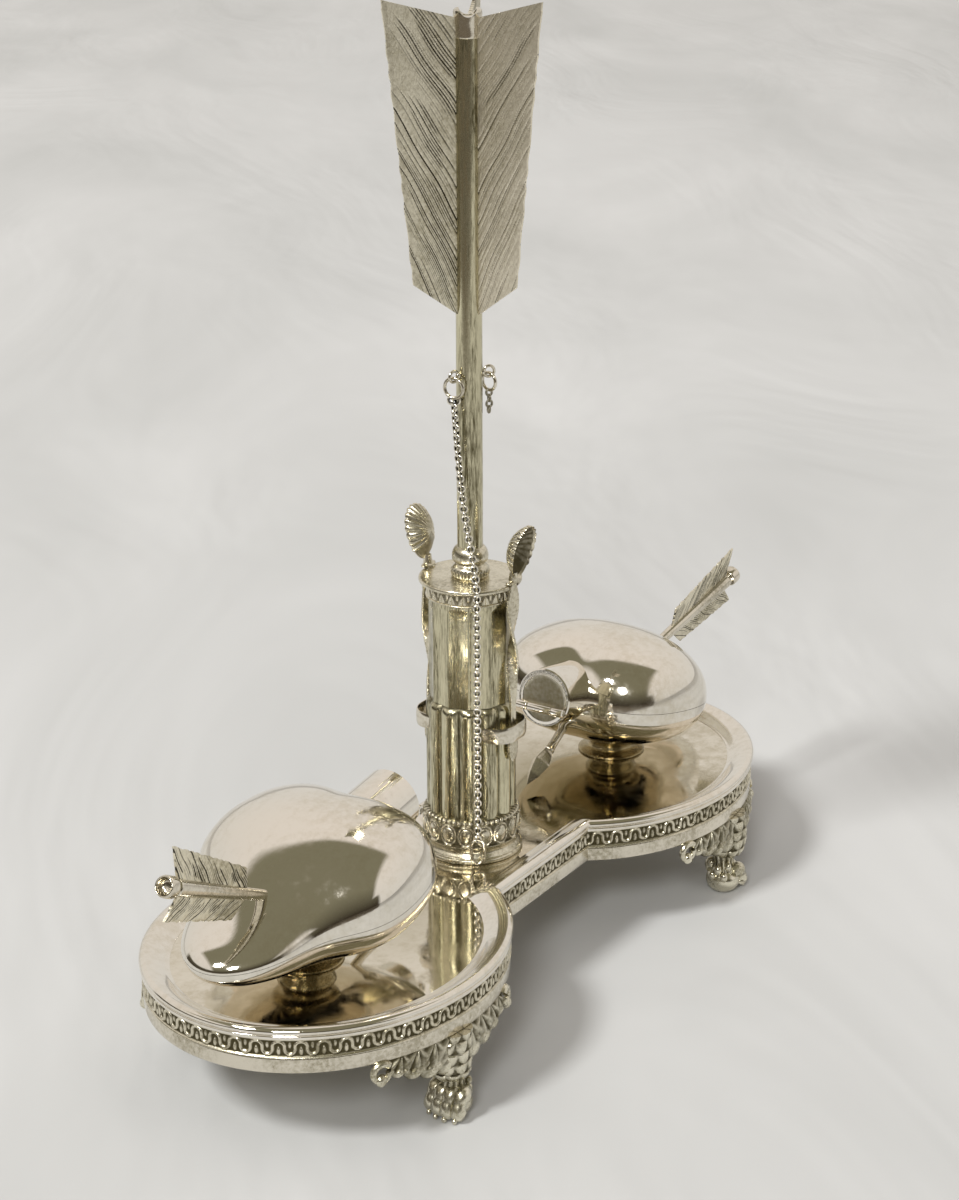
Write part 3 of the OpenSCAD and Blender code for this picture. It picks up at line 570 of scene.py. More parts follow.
# %% Top plate
def half_width(x):
    """Half the width of the base at x: the ellipse of the lobe, or the bridge."""
    u = np.clip((np.abs(x) - LOBE_X) / (LOBE_A - WALL), -1, 1)
    lobe = (LOBE_B - WALL) * np.sqrt(1 - u * u)
    return np.where(np.abs(x) < LOBE_X - LOBE_A * math.cos(CORNER), BRIDGE_W - WALL, np.maximum(lobe, 0.4))


over_lobe = LOBE_X - (LOBE_A - WALL) * np.cos(np.linspace(CORNER * 1.04, math.pi, 110))
x = np.concatenate([np.linspace(0, 27.0, 14), over_lobe])
x = np.concatenate([-x[:0:-1], x])[:, None]
q = np.linspace(-1, 1, 33)
flat = grid_of(x, q * half_width(x), PLATE_TOP)
put("base_top_plate", sheet(flat, flat - [0, 0, PLATE_T]), plate_silver, "top_plate", 40)
print("base triangles:", sum(made_triangles.values()))

# %% [markdown]
# ## The hearts
# Each box is a heart in two raised shells that meet in a seam: a pillowed lid that slopes down to the tip,
# and a shallower bowl. The outline is an even cosine curve in the angle, and the height falls off towards
# the edge as a flattened dome. A soft crease runs in from the cleft. The shells are real sheets, with an
# inside and a rim.

# %% Heart surface
HEART_X, HEART_Z, TILT = 87.2, 60.9, {-1: 8.0, 1: 9.7}
TIP, SIDE, LOBE, CLEFT, LID_H, BOWL_H, SHEET = 47.0, 33.5, 37.0, 33.0, 22.3, 16.9, 1.3
NOZZLE_R, NOZZLE_UP, NOZZLE_L, SEAM = 9.4, 3.2, 45.5, 0.06
HINGE_U = NOZZLE_L + 1.65
radii = np.array([TIP, TIP * 0.755, SIDE * 0.9, SIDE, SIDE * 1.09, LOBE, CLEFT])
fold = np.array([0.5, 1, 1, 1, 1, 1, 0.5])
order = np.arange(7)
HEART_WAVES = fold / 3 * (np.cos(np.pi / 6 * np.outer(order, order)) @ (fold * radii))


def reach(t, waves=7):
    """Reach of the heart from its centre at angle t, 0 at the tip and pi at the cleft: a sum of cosines."""
    return HEART_WAVES[:waves] @ np.cos(np.outer(order[:waves], t))


def heart_skin(s, inset=0.0, rows=66):
    """Half a heart: rows run from the rim to the crown, s is 1 above the seam and -1 below it.

    The plan goes from a soft oval of three cosines at the crown to the whole heart at the rim; the height
    is (1 - q ** 2.3) ** 0.43 with q from 0 to 1, less towards the tip and along the crease at the cleft."""
    t = angles(264) - math.pi
    q = np.sin(math.pi / 2 * np.linspace(1, 0.012, rows))[:, None]
    soft = reach(t, 3)
    plan = soft + (reach(t) - soft) * ease((q - 0.15) / 0.8)
    r = (plan - inset) * q
    u = r * np.cos(t)
    drop = 0.52 if s > 0 else 0.26
    slope = 1 - drop * ease((u + 8) / 48)
    rounder = ease((u - 4) / 34) * (s > 0)
    valley = 1 - 0.13 * q ** 3 * np.exp(-((np.degrees(np.abs(t)) - 180) / 15) ** 2)
    dome = np.clip(1 - q ** (2.3 - 0.5 * rounder), 0, 1) ** (0.43 + 0.1 * rounder)
    h = ((LID_H if s > 0 else BOWL_H) - inset) * slope * valley * dome
    return grid_of(u, r * np.sin(t), s * np.maximum(h, SEAM))


def in_heart(form, s):
    """Puts a form from a heart's own axes, tip along X, where the left (-1) or right (1) heart stands."""
    matrix = turn(2, 0 if s > 0 else 180) @ turn(1, TILT[s])
    return moved(form, matrix, (s * HEART_X, 0, HEART_Z))


def shell(s):
    """The raised sheet: the outer skin down to the rim, darkened near the rim by tarnish and painted shade,
    then the inner skin back up.
    """
    outer, inner = heart_skin(s), heart_skin(s, SHEET, rows=30)
    q = np.sin(math.pi / 2 * np.linspace(0.012, 1, len(outer)))
    # Lower values on the outer skin's last tenth make it darker and rougher: painted shade on the lid's steep
    # side, over some tarnish.
    rim_tarnish_and_shade = np.append(1 - 0.22 * ease((q - 0.9) / 0.1), np.ones(len(inner)))
    return tube(np.concatenate([outer[::-1], inner]), np.repeat(rim_tarnish_and_shade, outer.shape[1]))


def nozzle(s):
    """The short round spout, cut along the seam: half a thick tube into the heart, and its end wall."""
    low = math.asin((SEAM - NOZZLE_UP) / NOZZLE_R)
    ends = (low, math.pi - low) if s > 0 else (math.pi - low, TAU + low)
    a = np.linspace(*ends, 60)
    x = np.array([-NOZZLE_L, -NOZZLE_L, -NOZZLE_L + 0.35, -44, -38, -30, -24])[:, None]
    r = NOZZLE_R - np.array([0.5, 0.35, 0, 0, 0, 0, 0])[:, None]
    skin = lambda r: grid_of(x, r * np.cos(a), NOZZLE_UP + r * np.sin(a))
    wall = sheet(skin(r), skin(r - SHEET))
    q = np.linspace(0, 1, 14)[:, None]
    seam_z = s * SEAM
    y, z = (NOZZLE_R - 0.4) * np.cos(a), NOZZLE_UP + (NOZZLE_R - 0.4) * np.sin(a)
    dish = 0.28 * bump_of((1 - q) * 1.25) * (q < 0.86)
    front = grid_of(-NOZZLE_L + dish, y * q, seam_z + (z - seam_z) * q)
    return [wall, sheet(front, front + [SHEET, 0, 0], 0.3 + 0.7 * ease((q - 0.8) / 0.15) + 0 * a)]


def knuckle(y0, y1, radius=1.45):
    """One barrel of the hinge, lying along Y, its ends rounded."""
    y = np.array([y0, y0, y0 + 0.15, y0 + 0.4, y1 - 0.4, y1 - 0.15, y1, y1])
    r = radius * np.array([0.45, 0.8, 0.96, 1, 1, 0.96, 0.8, 0.45])
    return moved(lathe(np.stack([r, y], 1), 28), turn(0, -90), (-HINGE_U, 0, 0))


def plain_bar(y0, y1, z0, z1):
    """The leaf that ties a barrel to the end wall: a small block with soft corners."""
    section = rounded([(y0, z0), (y1, z0), (y1, z1), (y0, z1), (y0, z0)], 1)[:-1]
    x = np.array([-HINGE_U, -HINGE_U + 1.9])[:, None]
    return tube(grid_of(x, *section.T))


NAME = {-1: "left", 1: "right"}
for s in (-1, 1):
    lid = [shell(1), *nozzle(1), knuckle(-4.2, 4.2), plain_bar(-4.2, 4.2, 0.3, 1.4)]
    bowl = [shell(-1), *nozzle(-1), knuckle(4.4, 8.6), knuckle(-8.6, -4.4)]
    bowl += [plain_bar(4.4, 8.6, -1.35, -0.3), plain_bar(-8.6, -4.4, -1.35, -0.3)]
    put(NAME[s] + "_box_lid", [in_heart(f, s) for f in lid], mirror, NAME[s] + "_heart_lid", 35)
    put(NAME[s] + "_box_bowl", [in_heart(f, s) for f in bowl], mirror, NAME[s] + "_heart_bowl", 35)
    pin = moved(lathe([(0.3, -8.9), (0.7, -8.7), (0.7, 8.7), (0.3, 8.9)], 20), turn(0, -90), (-HINGE_U, 0, 0))
    put(NAME[s] + "_box_pin", in_heart(pin, s), tarnished, NAME[s] + "_hinge_pin", 40)
print("lid triangles:", made_triangles["left_box_lid"])

# %% [markdown]
# ## The feet and their leaves
# The stand rests on four cast lion's paws. Each leg comes out of a mass of scale-like fur under the band,
# narrows at the ankle and spreads into four toes with claws. It is drawn once, for the right lobe's near
# side, from turned and rounded forms that run into each other, as the modeller's wax would, and mirrored
# for the others.

# %% Paws
FOOT_X, FOOT_Y = 83.0, 46.5


def fur(a, z):
    """Rows of overlapping leaf-like locks with a vein: round tips down, every second row shifted."""
    step = (z - 12.2) / 3.3
    row = np.floor(step)
    fx = (a * 9 / TAU + 0.5 * (row % 2) + 0.17 * np.sin(row * 2.3)) % 1.0 - 0.5
    fz = step % 1.0
    tip = bump_of(np.hypot(fx * 1.95, (1 - fz) * 0.97))
    vein = bump_of(fx / 0.09) * 0.2 * (fz > 0.25)
    return 1.1 * (tip - vein) * (0.55 + 0.45 * (1 - fz)), 0.25 + 0.75 * (tip - vein)


def foot_forms():
    """One paw about its own axis, toes towards -Y."""
    z = np.linspace(12.0, 27.5, 66)
    r = np.interp(z, [12.0, 12.8, 14.6, 18, 23, 27.5], [2.8, 4.4, 5.5, 6.0, 6.0, 5.6])
    leg = lathe(np.stack([r, z], 1), 100, fur)
    leg[0][:, 1] -= 0.9 * np.sin(np.pi * (leg[0][:, 2] - 12.0) / 15.5)
    z = np.linspace(3.0, 13.5, 22)
    r = np.interp(z, [3, 6, 9, 11, 13.5], [4.6, 4.2, 3.4, 3.2, 3.6])
    tendons = lambda a, z: np.cos(11 * a + 0.3 * z)
    ankle = lathe(np.stack([r, z], 1), 60, lambda a, z: (0.2 * tendons(a, z), 0.6 + 0.4 * tendons(a, z)))
    ankle[0][:, 1] += 1.1
    pad, knob = ball((5.6, 5.2, 4.6), (0, 1.2, 4.0), 16, 28), ball((4.6, 3.8, 3.0), (0, 0.4, 7.6), 14, 24)
    forms = [leg, ankle, pad, knob]
    locks = ((0, 5.6, 8.6, 1.4), (2.0, 5.4, 6.3, 1.3), (-2.0, 5.4, 6.3, 1.3), (3.0, 4.2, 9.8, 1.1),
             (-3.0, 4.2, 9.8, 1.1))
    forms += [ball((size, size, size * 1.3), (x, y, z), 8, 14) for x, y, z, size in locks]
    thick = np.interp(np.linspace(0, 1, 26), [0, 0.3, 0.55, 0.8, 1], [0.9, 1.2, 0.92, 1.15, 0.75])
    for k in (-1.5, -0.5, 0.5, 1.5):
        x, y = k * 2.9, abs(k) * 0.9
        knots = [(0.8, 1.0, 7.2), (1, -1.6, 7.6), (1.04, -3.5, 5.4), (1.04, -3.9, 2.6), (1.04, -3.2, 1.4)]
        toe = smooth_path(np.array(knots) * [x, 1, 1] + [0, y, 0], 26)
        claw = ball((0.75, 0.9, 0.9), (1.04 * x, y - 5.5, 0.9), 8, 14)
        forms += [along(toe, circle(2.2, 18), (1, 0, 0), thick), claw]
    for p, _, _ in forms:
        p[:, 2] = np.maximum(p[:, 2], 0.0)
    return forms


def mirrored(form, sx, sy):
    """The form on the other side of the stand: right and near is (1, 1)."""
    return form[0] * [sx, sy, 1], form[1], form[2]


CORNERS = {"right_near": (1, 1), "left_near": (-1, 1), "right_far": (1, -1), "left_far": (-1, -1)}
paw = [moved(f, turn(2, 95), (FOOT_X, -FOOT_Y + 0.7, 0)) for f in foot_forms()]
for name, (sx, sy) in CORNERS.items():
    put("paw_" + name, [mirrored(f, sx, sy) for f in paw], cast, "foot_" + name, 60)
print("paw triangles:", made_triangles["paw_right_near"])

# %% [markdown]
# On both sides of each paw a cast spray of acanthus hangs under the band and follows the lobe's edge. Its
# leaves lie over each other, away from the paw, and each end rolls up into a scroll with a bud. The plate
# is one grid whose lower edge and relief share the same row of leaves; the scroll is wire carried along a
# spiral.

# %% Leaf sprays
lobe_p, lobe_n, _, lobe_s = (values[:3000] for values in outline(3000, 8))
lobe_s = lobe_s * EDGE_LENGTH[0]
lobe_angle = np.linspace(CORNER - math.pi, math.pi - CORNER, 3000)
FOOT_S = np.interp(-math.pi / 2, lobe_angle, lobe_s) + FOOT_X - LOBE_X


def by_edge(s, offset, z):
    """The point at length s along the right lobe's edge from the paw, offset outwards, at height z."""
    s = np.asarray(s, float) + FOOT_S
    x, y = (np.interp(s, lobe_s, lobe_p[:, k]) + offset * np.interp(s, lobe_s, lobe_n[:, k]) for k in (0, 1))
    return grid_of(x, y, z)


LEAVES = ((4.4, 11.6), (10.6, 10.4), (16.6, 8.6), (22.0, 6.6))


def acanthus(s, d):
    """Relief and cover of the leaves at length s from the paw and depth d under the band.

    Each leaf is a fan about its root, (length, size), leaning a little away from the paw: flutes in the
    angle, a deep ground between them, a lip rolled up along its lower edge and a curled end. The highest
    leaf shows."""
    high = np.zeros(np.broadcast(s, d).shape)
    cover = high > 0
    for root, size in LEAVES:
        x = s - root - 0.16 * d
        rho = np.hypot(x / (0.6 * size), (d + 0.2) / size)
        fan = 0.5 + 0.5 * np.cos(8 * np.arctan2(d + 0.4, x + 0.05 * size))
        leaf = bump_of(rho) ** 0.7 * (0.1 + 0.6 * fan)
        lip = bump_of((rho - 0.84) / 0.16) * (0.55 + 0.45 * fan) * ease((d / size - 0.35) / 0.2)
        curl = bump_of(np.hypot(x, d - 0.74 * size) / (0.24 * size))
        high = np.maximum(high, np.maximum(np.maximum(leaf, lip), curl))
        cover |= rho < 1
    return high, cover


def spray_half(side):
    """Half a spray, on one side of its paw: the leaf plate, its scroll and the hanging ball."""
    along_s = np.linspace(2.4, 28.0, 200)[:, None]
    depth = np.linspace(0, 13, 201)
    drop = np.where(acanthus(along_s, depth)[1], depth, 1.0).max(1)
    drop = np.convolve(np.pad(drop, 2, "edge"), np.ones(5) / 5, "valid")[:, None]
    v = np.linspace(0, 1, 34)
    d = v * drop
    high = acanthus(along_s, d)[0]
    offset = -1.3 + 1.3 * np.sin(np.pi * np.clip(v * 0.95, 0, 1)) * np.clip(drop / 8, 0, 1) + 1.35 * high
    z = BAND_Z + 0.1 - d
    plate = sheet(by_edge(side * along_s, offset, z), by_edge(side * along_s, -2.0, z), 0.1 + 0.9 * high)
    a = np.linspace(-0.25 * math.pi, 1.6 * math.pi, 60)
    rolled = np.linspace(0, 1, 60)
    r = 3.0 - 1.2 * rolled
    scroll = by_edge(side * (28.0 + r * np.sin(a)), -0.2 + 0.5 * (a - a[0]) / 6, BAND_Z - 3.3 + r * np.cos(a))
    wire = along(scroll, circle(0.95, 12), (0.3, -1, 0), 1.2 - 0.35 * rolled)
    return [plate, wire, ball((1.85, 1.5, 1.9), by_edge(side * 28.3, 0.1, BAND_Z - 5.2), 12, 18)]


spray = spray_half(-1) + spray_half(1)
for name, (sx, sy) in CORNERS.items():
    put("leaves_" + name, [mirrored(f, sx, sy) for f in spray], cast, "leaf_spray_" + name, 60)
print("spray triangles:", made_triangles["leaves_right_near"])

# %% [markdown]
# ## The quiver
# The quiver is a reeded sheath with a fluted tube standing in it, on a turned foot with a belt of eggs and
# a line of beads, under a flat cap with a belt of leaves. All of it is turned about one axis, so each piece
# is a profile turned round Z whose radius also swings with the angle.

# %% Quiver foot
BELT_R, EGG_Z, BEAD_Z = 15.0, 47.1, 51.15


def egg_belt(a, z):
    """A belt of 16 eggs in raised loops, and a line of 52 beads over it."""
    x = ((a * 16 / TAU + 0.35) % 1.0 - 0.5) * BELT_R * TAU / 16
    e = np.hypot(x / 1.95, (z - EGG_Z) / 2.5)
    egg = bump_of(e) * 0.62
    loop = bump_of((e - 1.28) / 0.13) * 0.3 * (np.abs(z - EGG_Z) < 3.4)
    bead_x = ((a * 52 / TAU) % 1.0 - 0.5) * BELT_R * TAU / 52
    bead = bump_of(np.hypot(bead_x, z - BEAD_Z) / 0.72) * 0.55
    inside = (z > 43.6) & (z < 50.6)
    lift = np.where(inside, np.maximum(egg, loop), 0) + np.where(z > 50.4, bead, 0)
    high = np.where(inside | (z > 50.4), 0.15 + lift / 0.4, 1.0)
    return lift, high


foot_low = rounded([(14.6, 38.2), (15.5, 38.25), (15.8, 38.9), (15.5, 39.7), (14.9, 39.8), (14.7, 40.3),
                    (14.0, 41.2), (13.95, 42.0), (14.6, 43.0), (15.0, 43.5), (14.9, 43.7)])
belt_z = np.linspace(43.8, 50.4, 54)
belt = grid_of(14.5 + 0.4 * (np.abs(belt_z - EGG_Z) > 3.1), belt_z)
foot_high = [(14.2, 50.5), *((14.1, z) for z in (50.7, 50.9, BEAD_Z, 51.4, 51.6)), (14.0, 51.8), (12.0, 51.8)]
foot = lathe(np.vstack([foot_low, belt, foot_high]), 416, egg_belt)
put("quiver_turned_foot", foot, carved, "quiver_foot", 70)

# %% Reeded sheath
REED_TOP = 85.2


def reed_radius(a, z):
    """Radius of 12 round reeds at angle a; each one closes in a round tip at the top."""
    f = ((a * 12 / TAU + 0.5) % 1.0 - 0.5) * TAU / 12
    reed, centre = 3.7, 9.9
    r = centre * np.cos(f) + np.sqrt(np.maximum(reed ** 2 - (centre * np.sin(f)) ** 2, 0))
    tip = np.clip((z - REED_TOP) / 2.9, 0, 1)
    return np.where(z > REED_TOP, 10.9 + (r - 10.9) * np.sqrt(1 - tip ** 2 * 0.98), r)


z = np.concatenate([np.linspace(51.8, 85, 14), np.linspace(REED_TOP, 88, 14)])[:, None]
a = angles(384)
r = reed_radius(a, z)
high = np.clip((r - 12.1) / 0.8, 0.3 * (z > REED_TOP), 1)
put("quiver_reeds", about_z(r, a, z, high), streaked, "quiver_sheath", 60)

# %% Fluted tube: 12 hollow faces with a sharp, slightly worn edge between them
z = np.concatenate([[88.0, 88.2], np.linspace(88.6, 118.2, 12), [118.8, 119.3, 119.8, 120.5]])[:, None]
a = angles(288)
f = ((a * 12 / TAU) % 1.0 - 0.5) * 2
hollow = 0.62 * (1 - f ** 2) + 0.12 * (1 - np.clip((1 - np.abs(f)) / 0.1, 0, 1)) ** 2
top = ease((z - 118.0) / 1.6)
r = 12.62 - hollow * (1 - top * 0.9)
high = 0.35 + 0.65 * np.clip((1 - np.abs(f)) / 0.12, 0, 1) + 0 * z
put("quiver_flutes", about_z(r, a, z, high), streaked, "quiver_tube", 60)

# %% Cap with its belt of leaves and the two notches for the spoons
CAP_TOP = 126.4


def leaf_belt(a, z):
    """24 pointed leaves with a vein, tips up, between two plain edges."""
    x = np.abs((a * 24 / TAU) % 1.0 - 0.5) * 2
    t = (z - 121.3) / 2.9
    inside = (t > 0) & (t < 1)
    leaf = bump_of(x / np.maximum(0.95 * np.clip(1 - t, 0, 1) ** 0.6, 0.02)) * inside
    vein = bump_of(x / 0.1) * 0.35
    between = bump_of((1 - x) / 0.3) * ease((t - 0.25) / 0.3) * (t < 0.95)
    lift = np.where(inside, 0.5 * np.maximum(leaf - vein, 0.7 * between), 0.0)
    return lift, np.where(inside, 0.25 + lift / 0.6, 1.0)


cap_low = rounded([(12.0, 120.5), (13.2, 120.5), (13.55, 120.9), (13.2, 121.2), (12.9, 121.3)])
belt = grid_of(12.75, np.linspace(121.35, 124.2, 26))
cap_high = rounded([(12.9, 124.3), (13.3, 124.5), (14.6, 124.8), (15.4, 125.2), (15.5, 125.7), (15.4, 126.2),
                    (15.1, CAP_TOP), (14.4, CAP_TOP)])
cap_top_ring = [(13.0, 126.33), (11.0, 126.33), (9.0, 126.34), (7.0, 126.36), (5.0, CAP_TOP), (2.0, CAP_TOP)]
cap = lathe(np.vstack([cap_low, belt, cap_high, cap_top_ring]), 480, leaf_belt)
notch = np.abs(cap[0][:, 0]) < 2.6
cap[0][notch, 1] = np.clip(cap[0][notch, 1], -13.6, 13.6)
put("quiver_flat_cap", cap, carved, "quiver_cap", 40)

# %% [markdown]
# Two ribbon straps are soldered to the sheath and the spoons drop through them. Each is a strip bent to a loop:
# a thin section carried along the bend, wider where it stands off.

# %% Straps and nuts
def strap_form(s):
    """The strap's strip between its outer and its inner bend; s is the side, -1 near."""
    knots = [(-8.2, 9.5), (-7.9, 12.6), (-6.6, 14.9), (-3.4, 16.8), (0, 17.0), (3.4, 16.8), (6.6, 14.9),
             (7.9, 12.6), (8.2, 9.5)]
    line = smooth_path(knots, 70)
    out = unit(np.gradient(line, axis=0)[:, ::-1] * [-1, 1])
    v = np.linspace(0, 1, 9)
    flare = 0.55 * np.cos(np.linspace(-math.pi / 2, math.pi / 2, 70))[:, None]
    z = 77.5 - flare * 0.6 + v * (4.5 + flare)
    edge = 0.3 * bump_of((v - 0.5) * 2) + 0.12
    face = lambda k: grid_of(*(line[:, i:i + 1] + k * edge * out[:, i:i + 1] for i in (0, 1)), z) * [1, s, 1]
    return sheet(face(1), face(-1))


def hex_nut(radius, z0, z1, stud_r, stud_z):
    """A hexagon nut with chamfered corners, and the stud's end under it."""
    a = angles(72)
    flat = radius * math.cos(math.pi / 6) / np.cos((a + math.pi / 6) % (math.pi / 3) - math.pi / 6)
    z = np.array([z0, z0 + 0.01, z0 + 0.5, z1 - 0.5, z1 - 0.01, z1])[:, None]
    cut = radius * np.array([0.80, 0.88, 1.02, 1.02, 0.88, 0.80])[:, None]
    stud = lathe(rounded([(stud_r - 0.5, stud_z), (stud_r, stud_z + 0.3), (stud_r, z0 + 0.2)], 1), 28)
    return [about_z(np.minimum(flat, cut), a, z), stud]


put("spoon_loop_near", strap_form(-1), polished, "spoon_strap_near", 50)
put("spoon_loop_far", strap_form(1), polished, "spoon_strap_far", 50)
put("quiver_hex_nut", hex_nut(7.0, 33.4, 37.0, 2.4, 31.8), tarnished, "quiver_nut", 30)
for s in (-1, 1):
    nut = [moved(f, shift=(s * HEART_X, 0, 0)) for f in hex_nut(5.0, 34.0, 37.0, 1.9, 32.6)]
    put(NAME[s] + "_hex_nut", nut, tarnished, NAME[s] + "_heart_nut", 30)
    profile = [(10.6, 38.2), (11.0, 38.35), (11.0, 38.9), (9.6, 39.3), (8.1, 39.6), (7.3, 40.4), (7.2, 41.4),
               (7.7, 42.6), (8.4, 44.0), (8.6, 45.0), (6.0, 45.0)]
    base = moved(lathe(rounded(profile), 90), shift=(s * HEART_X, 0, 0))
    # The foot's dark finish is painted shade under the heart.
    put(NAME[s] + "_box_foot", base, foot_in_painted_shade, NAME[s] + "_heart_foot", 50)
print("quiver triangles:", sum(count for name, count in made_triangles.items() if name.startswith("quiver")))

# %% [markdown]
# ## The big arrow
# The arrow stands in a double turned collar and is the handle. Its shaft is round rod with a notched end,
# and its three vanes are flat sheet, engraved on both faces with barbs that sweep from the outer edge down
# to the shaft. The graver's cuts are real grooves here: each one has its own depth, and thins out along its
# length.

# %% Collar, shaft and notched end
SHAFT_R, COLLAR_TOP, NOCK_TOP = 3.85, 135.8, 292.5
collar = rounded([(4.9, CAP_TOP), (5.3, CAP_TOP), (5.75, 127.0), (5.85, 127.9), (5.8, 128.7), (5.3, 129.6),
                  (4.6, 130.2), (4.4, 130.5), (4.8, 130.9), (5.35, 131.6), (5.5, 132.6), (5.4, 133.6),
                  (5.0, 134.8), (4.3, 135.6), (3.9, 135.8)])


def knurl(a, z):
    """Fine upright cuts round the lower ring, and a plain upper ring."""
    cut = (0.5 - 0.5 * np.cos(30 * a)) * bump_of((z - 127.9) / 1.2)
    return -0.28 * cut, 1 - 0.9 * cut


put("arrow_turned_collar", lathe(collar, 240, knurl), carved, "arrow_collar", 60)
z = np.linspace(COLLAR_TOP, NOCK_TOP - 8, 24)
put("arrow_rod", lathe(np.stack([SHAFT_R + 0.03 * np.sin(z * 0.21), z], 1), 64), streaked, "arrow_shaft", 50)

nock = rounded([(3.7, 284.5), (3.85, 284.5), (3.88, 287.0), (4.1, 290.0), (4.1, 291.6), (3.8, 292.4),
                (3.2, 292.5), (2.8, 291.4), (2.5, 290.2), (1.4, 289.8)])
nock = lathe(np.vstack([nock, [(0.9, 289.7), (0.4, 289.7)]]))
p = nock[0]
across = np.abs(p @ turn(2, 125)[:, 0])
saddle = NOCK_TOP + 0.4 - 2.5 * bump_of(across / 2.5)
p[:, 2] = np.where(across < 2.5, np.minimum(p[:, 2], saddle), p[:, 2])
put("arrow_notch", nock, polished, "arrow_nock", 40)

# %% Engraved vanes
def barbs(u, v, count, seed, slant):
    """Depth of the engraved barbs, 0 to 1, at u from the shaft outwards and v up the vane, both 0 to 1.

    Each cut runs along v = k / count + slant u + 0.05 u squared; the fraction of the way to the next cut
    sets the groove, and a value drawn per cut sets how deep and how long it is."""
    draw = np.random.default_rng(seed)
    waver = 0.3 * np.sin(v * 23 + u * 3) + 0.12 * np.sin(u * 9 + v * 5)
    phase = (v - slant * u - 0.05 * u * u + 0.4) * count + waver
    cut = np.floor(phase).astype(int)
    each = lambda low, high: draw.uniform(low, high, cut.max() + 2)[cut]
    deep = each(0.3, 1.0) ** 1.2
    start, end, wide = each(-0.4, 0.3), each(0.55, 1.3), each(0.2, 0.42)
    return deep * bump_of((phase - cut - 0.5) / wide) * ease((u - start) / 0.12) * ease((end - u) / 0.2)


def vane_form(corners, thick, rows, cols, count, seed, depth, slant=0.25):
    """A flat vane from its four corners, (reach, height) at inner low, outer low, outer high, inner high."""
    u = np.linspace(0, 1, cols)
    v = np.linspace(0, 1, rows)[:, None]
    r, z = ((1 - v) * ((1 - u) * c[0] + u * c[1]) + v * ((1 - u) * c[3] + u * c[2]) for c in zip(*corners))
    r = r + 0.16 * np.sin(v * 61 + 2.0 * np.sin(v * 17)) * ease((u - 0.9) / 0.1) * (v > 0.03) * (v < 0.97)
    cuts = [barbs(u, v, count, seed + side, slant) for side in (1, -1)]
    half = thick / 2 * (1 - 0.35 * ease((u - 0.93) / 0.07))
    front, back = (grid_of(r, side * (half - depth * cut), z) for side, cut in zip((1, -1), cuts))
    points, faces, _ = sheet(front, back)
    return points, faces, 1 - np.ravel(cuts)


ROOT = SHAFT_R - 0.6
VANE = [(ROOT, NOCK_TOP - 86.5), (17, NOCK_TOP - 76.5), (25.5, NOCK_TOP + 3.5), (ROOT, NOCK_TOP - 2.5)]
for k, name in enumerate(("back", "left", "right")):
    form = vane_form(VANE, 1.1, 420, 56, 60, 11 + k * 5, 0.2)
    # The right vane takes the paler copy of the finish: painted light.
    finish = engraved_lit if name == "right" else engraved
    put("arrow_feather_" + name, moved(form, turn(2, 25 + 120 * k)), finish, "arrow_vane_" + name, 70)
print("feather triangles:", made_triangles["arrow_feather_back"])

# %% [markdown]
# ## The small arrows
# An arrow pierces each heart at a slant. Its tail is fixed in the lid and lifts with it, and carries two
# feathers opposite each other; its leaf-shaped head droops from the bowl beside the spout.

# %% Tails and heads of the small arrows
TAIL, PIERCE = 44.0, {-1: 34.0, 1: 26.0}


def on_arrow(form, s):
    """Puts a form whose Z is the arrow's own line into its place in the left (-1) or right (1) heart."""
    matrix = turn(2, -8 if s > 0 else 0) @ turn(1, 90 - PIERCE[s])
    return in_heart(moved(form, matrix, (TIP * 0.51, -s * 4.0, LID_H * 0.547)), s)


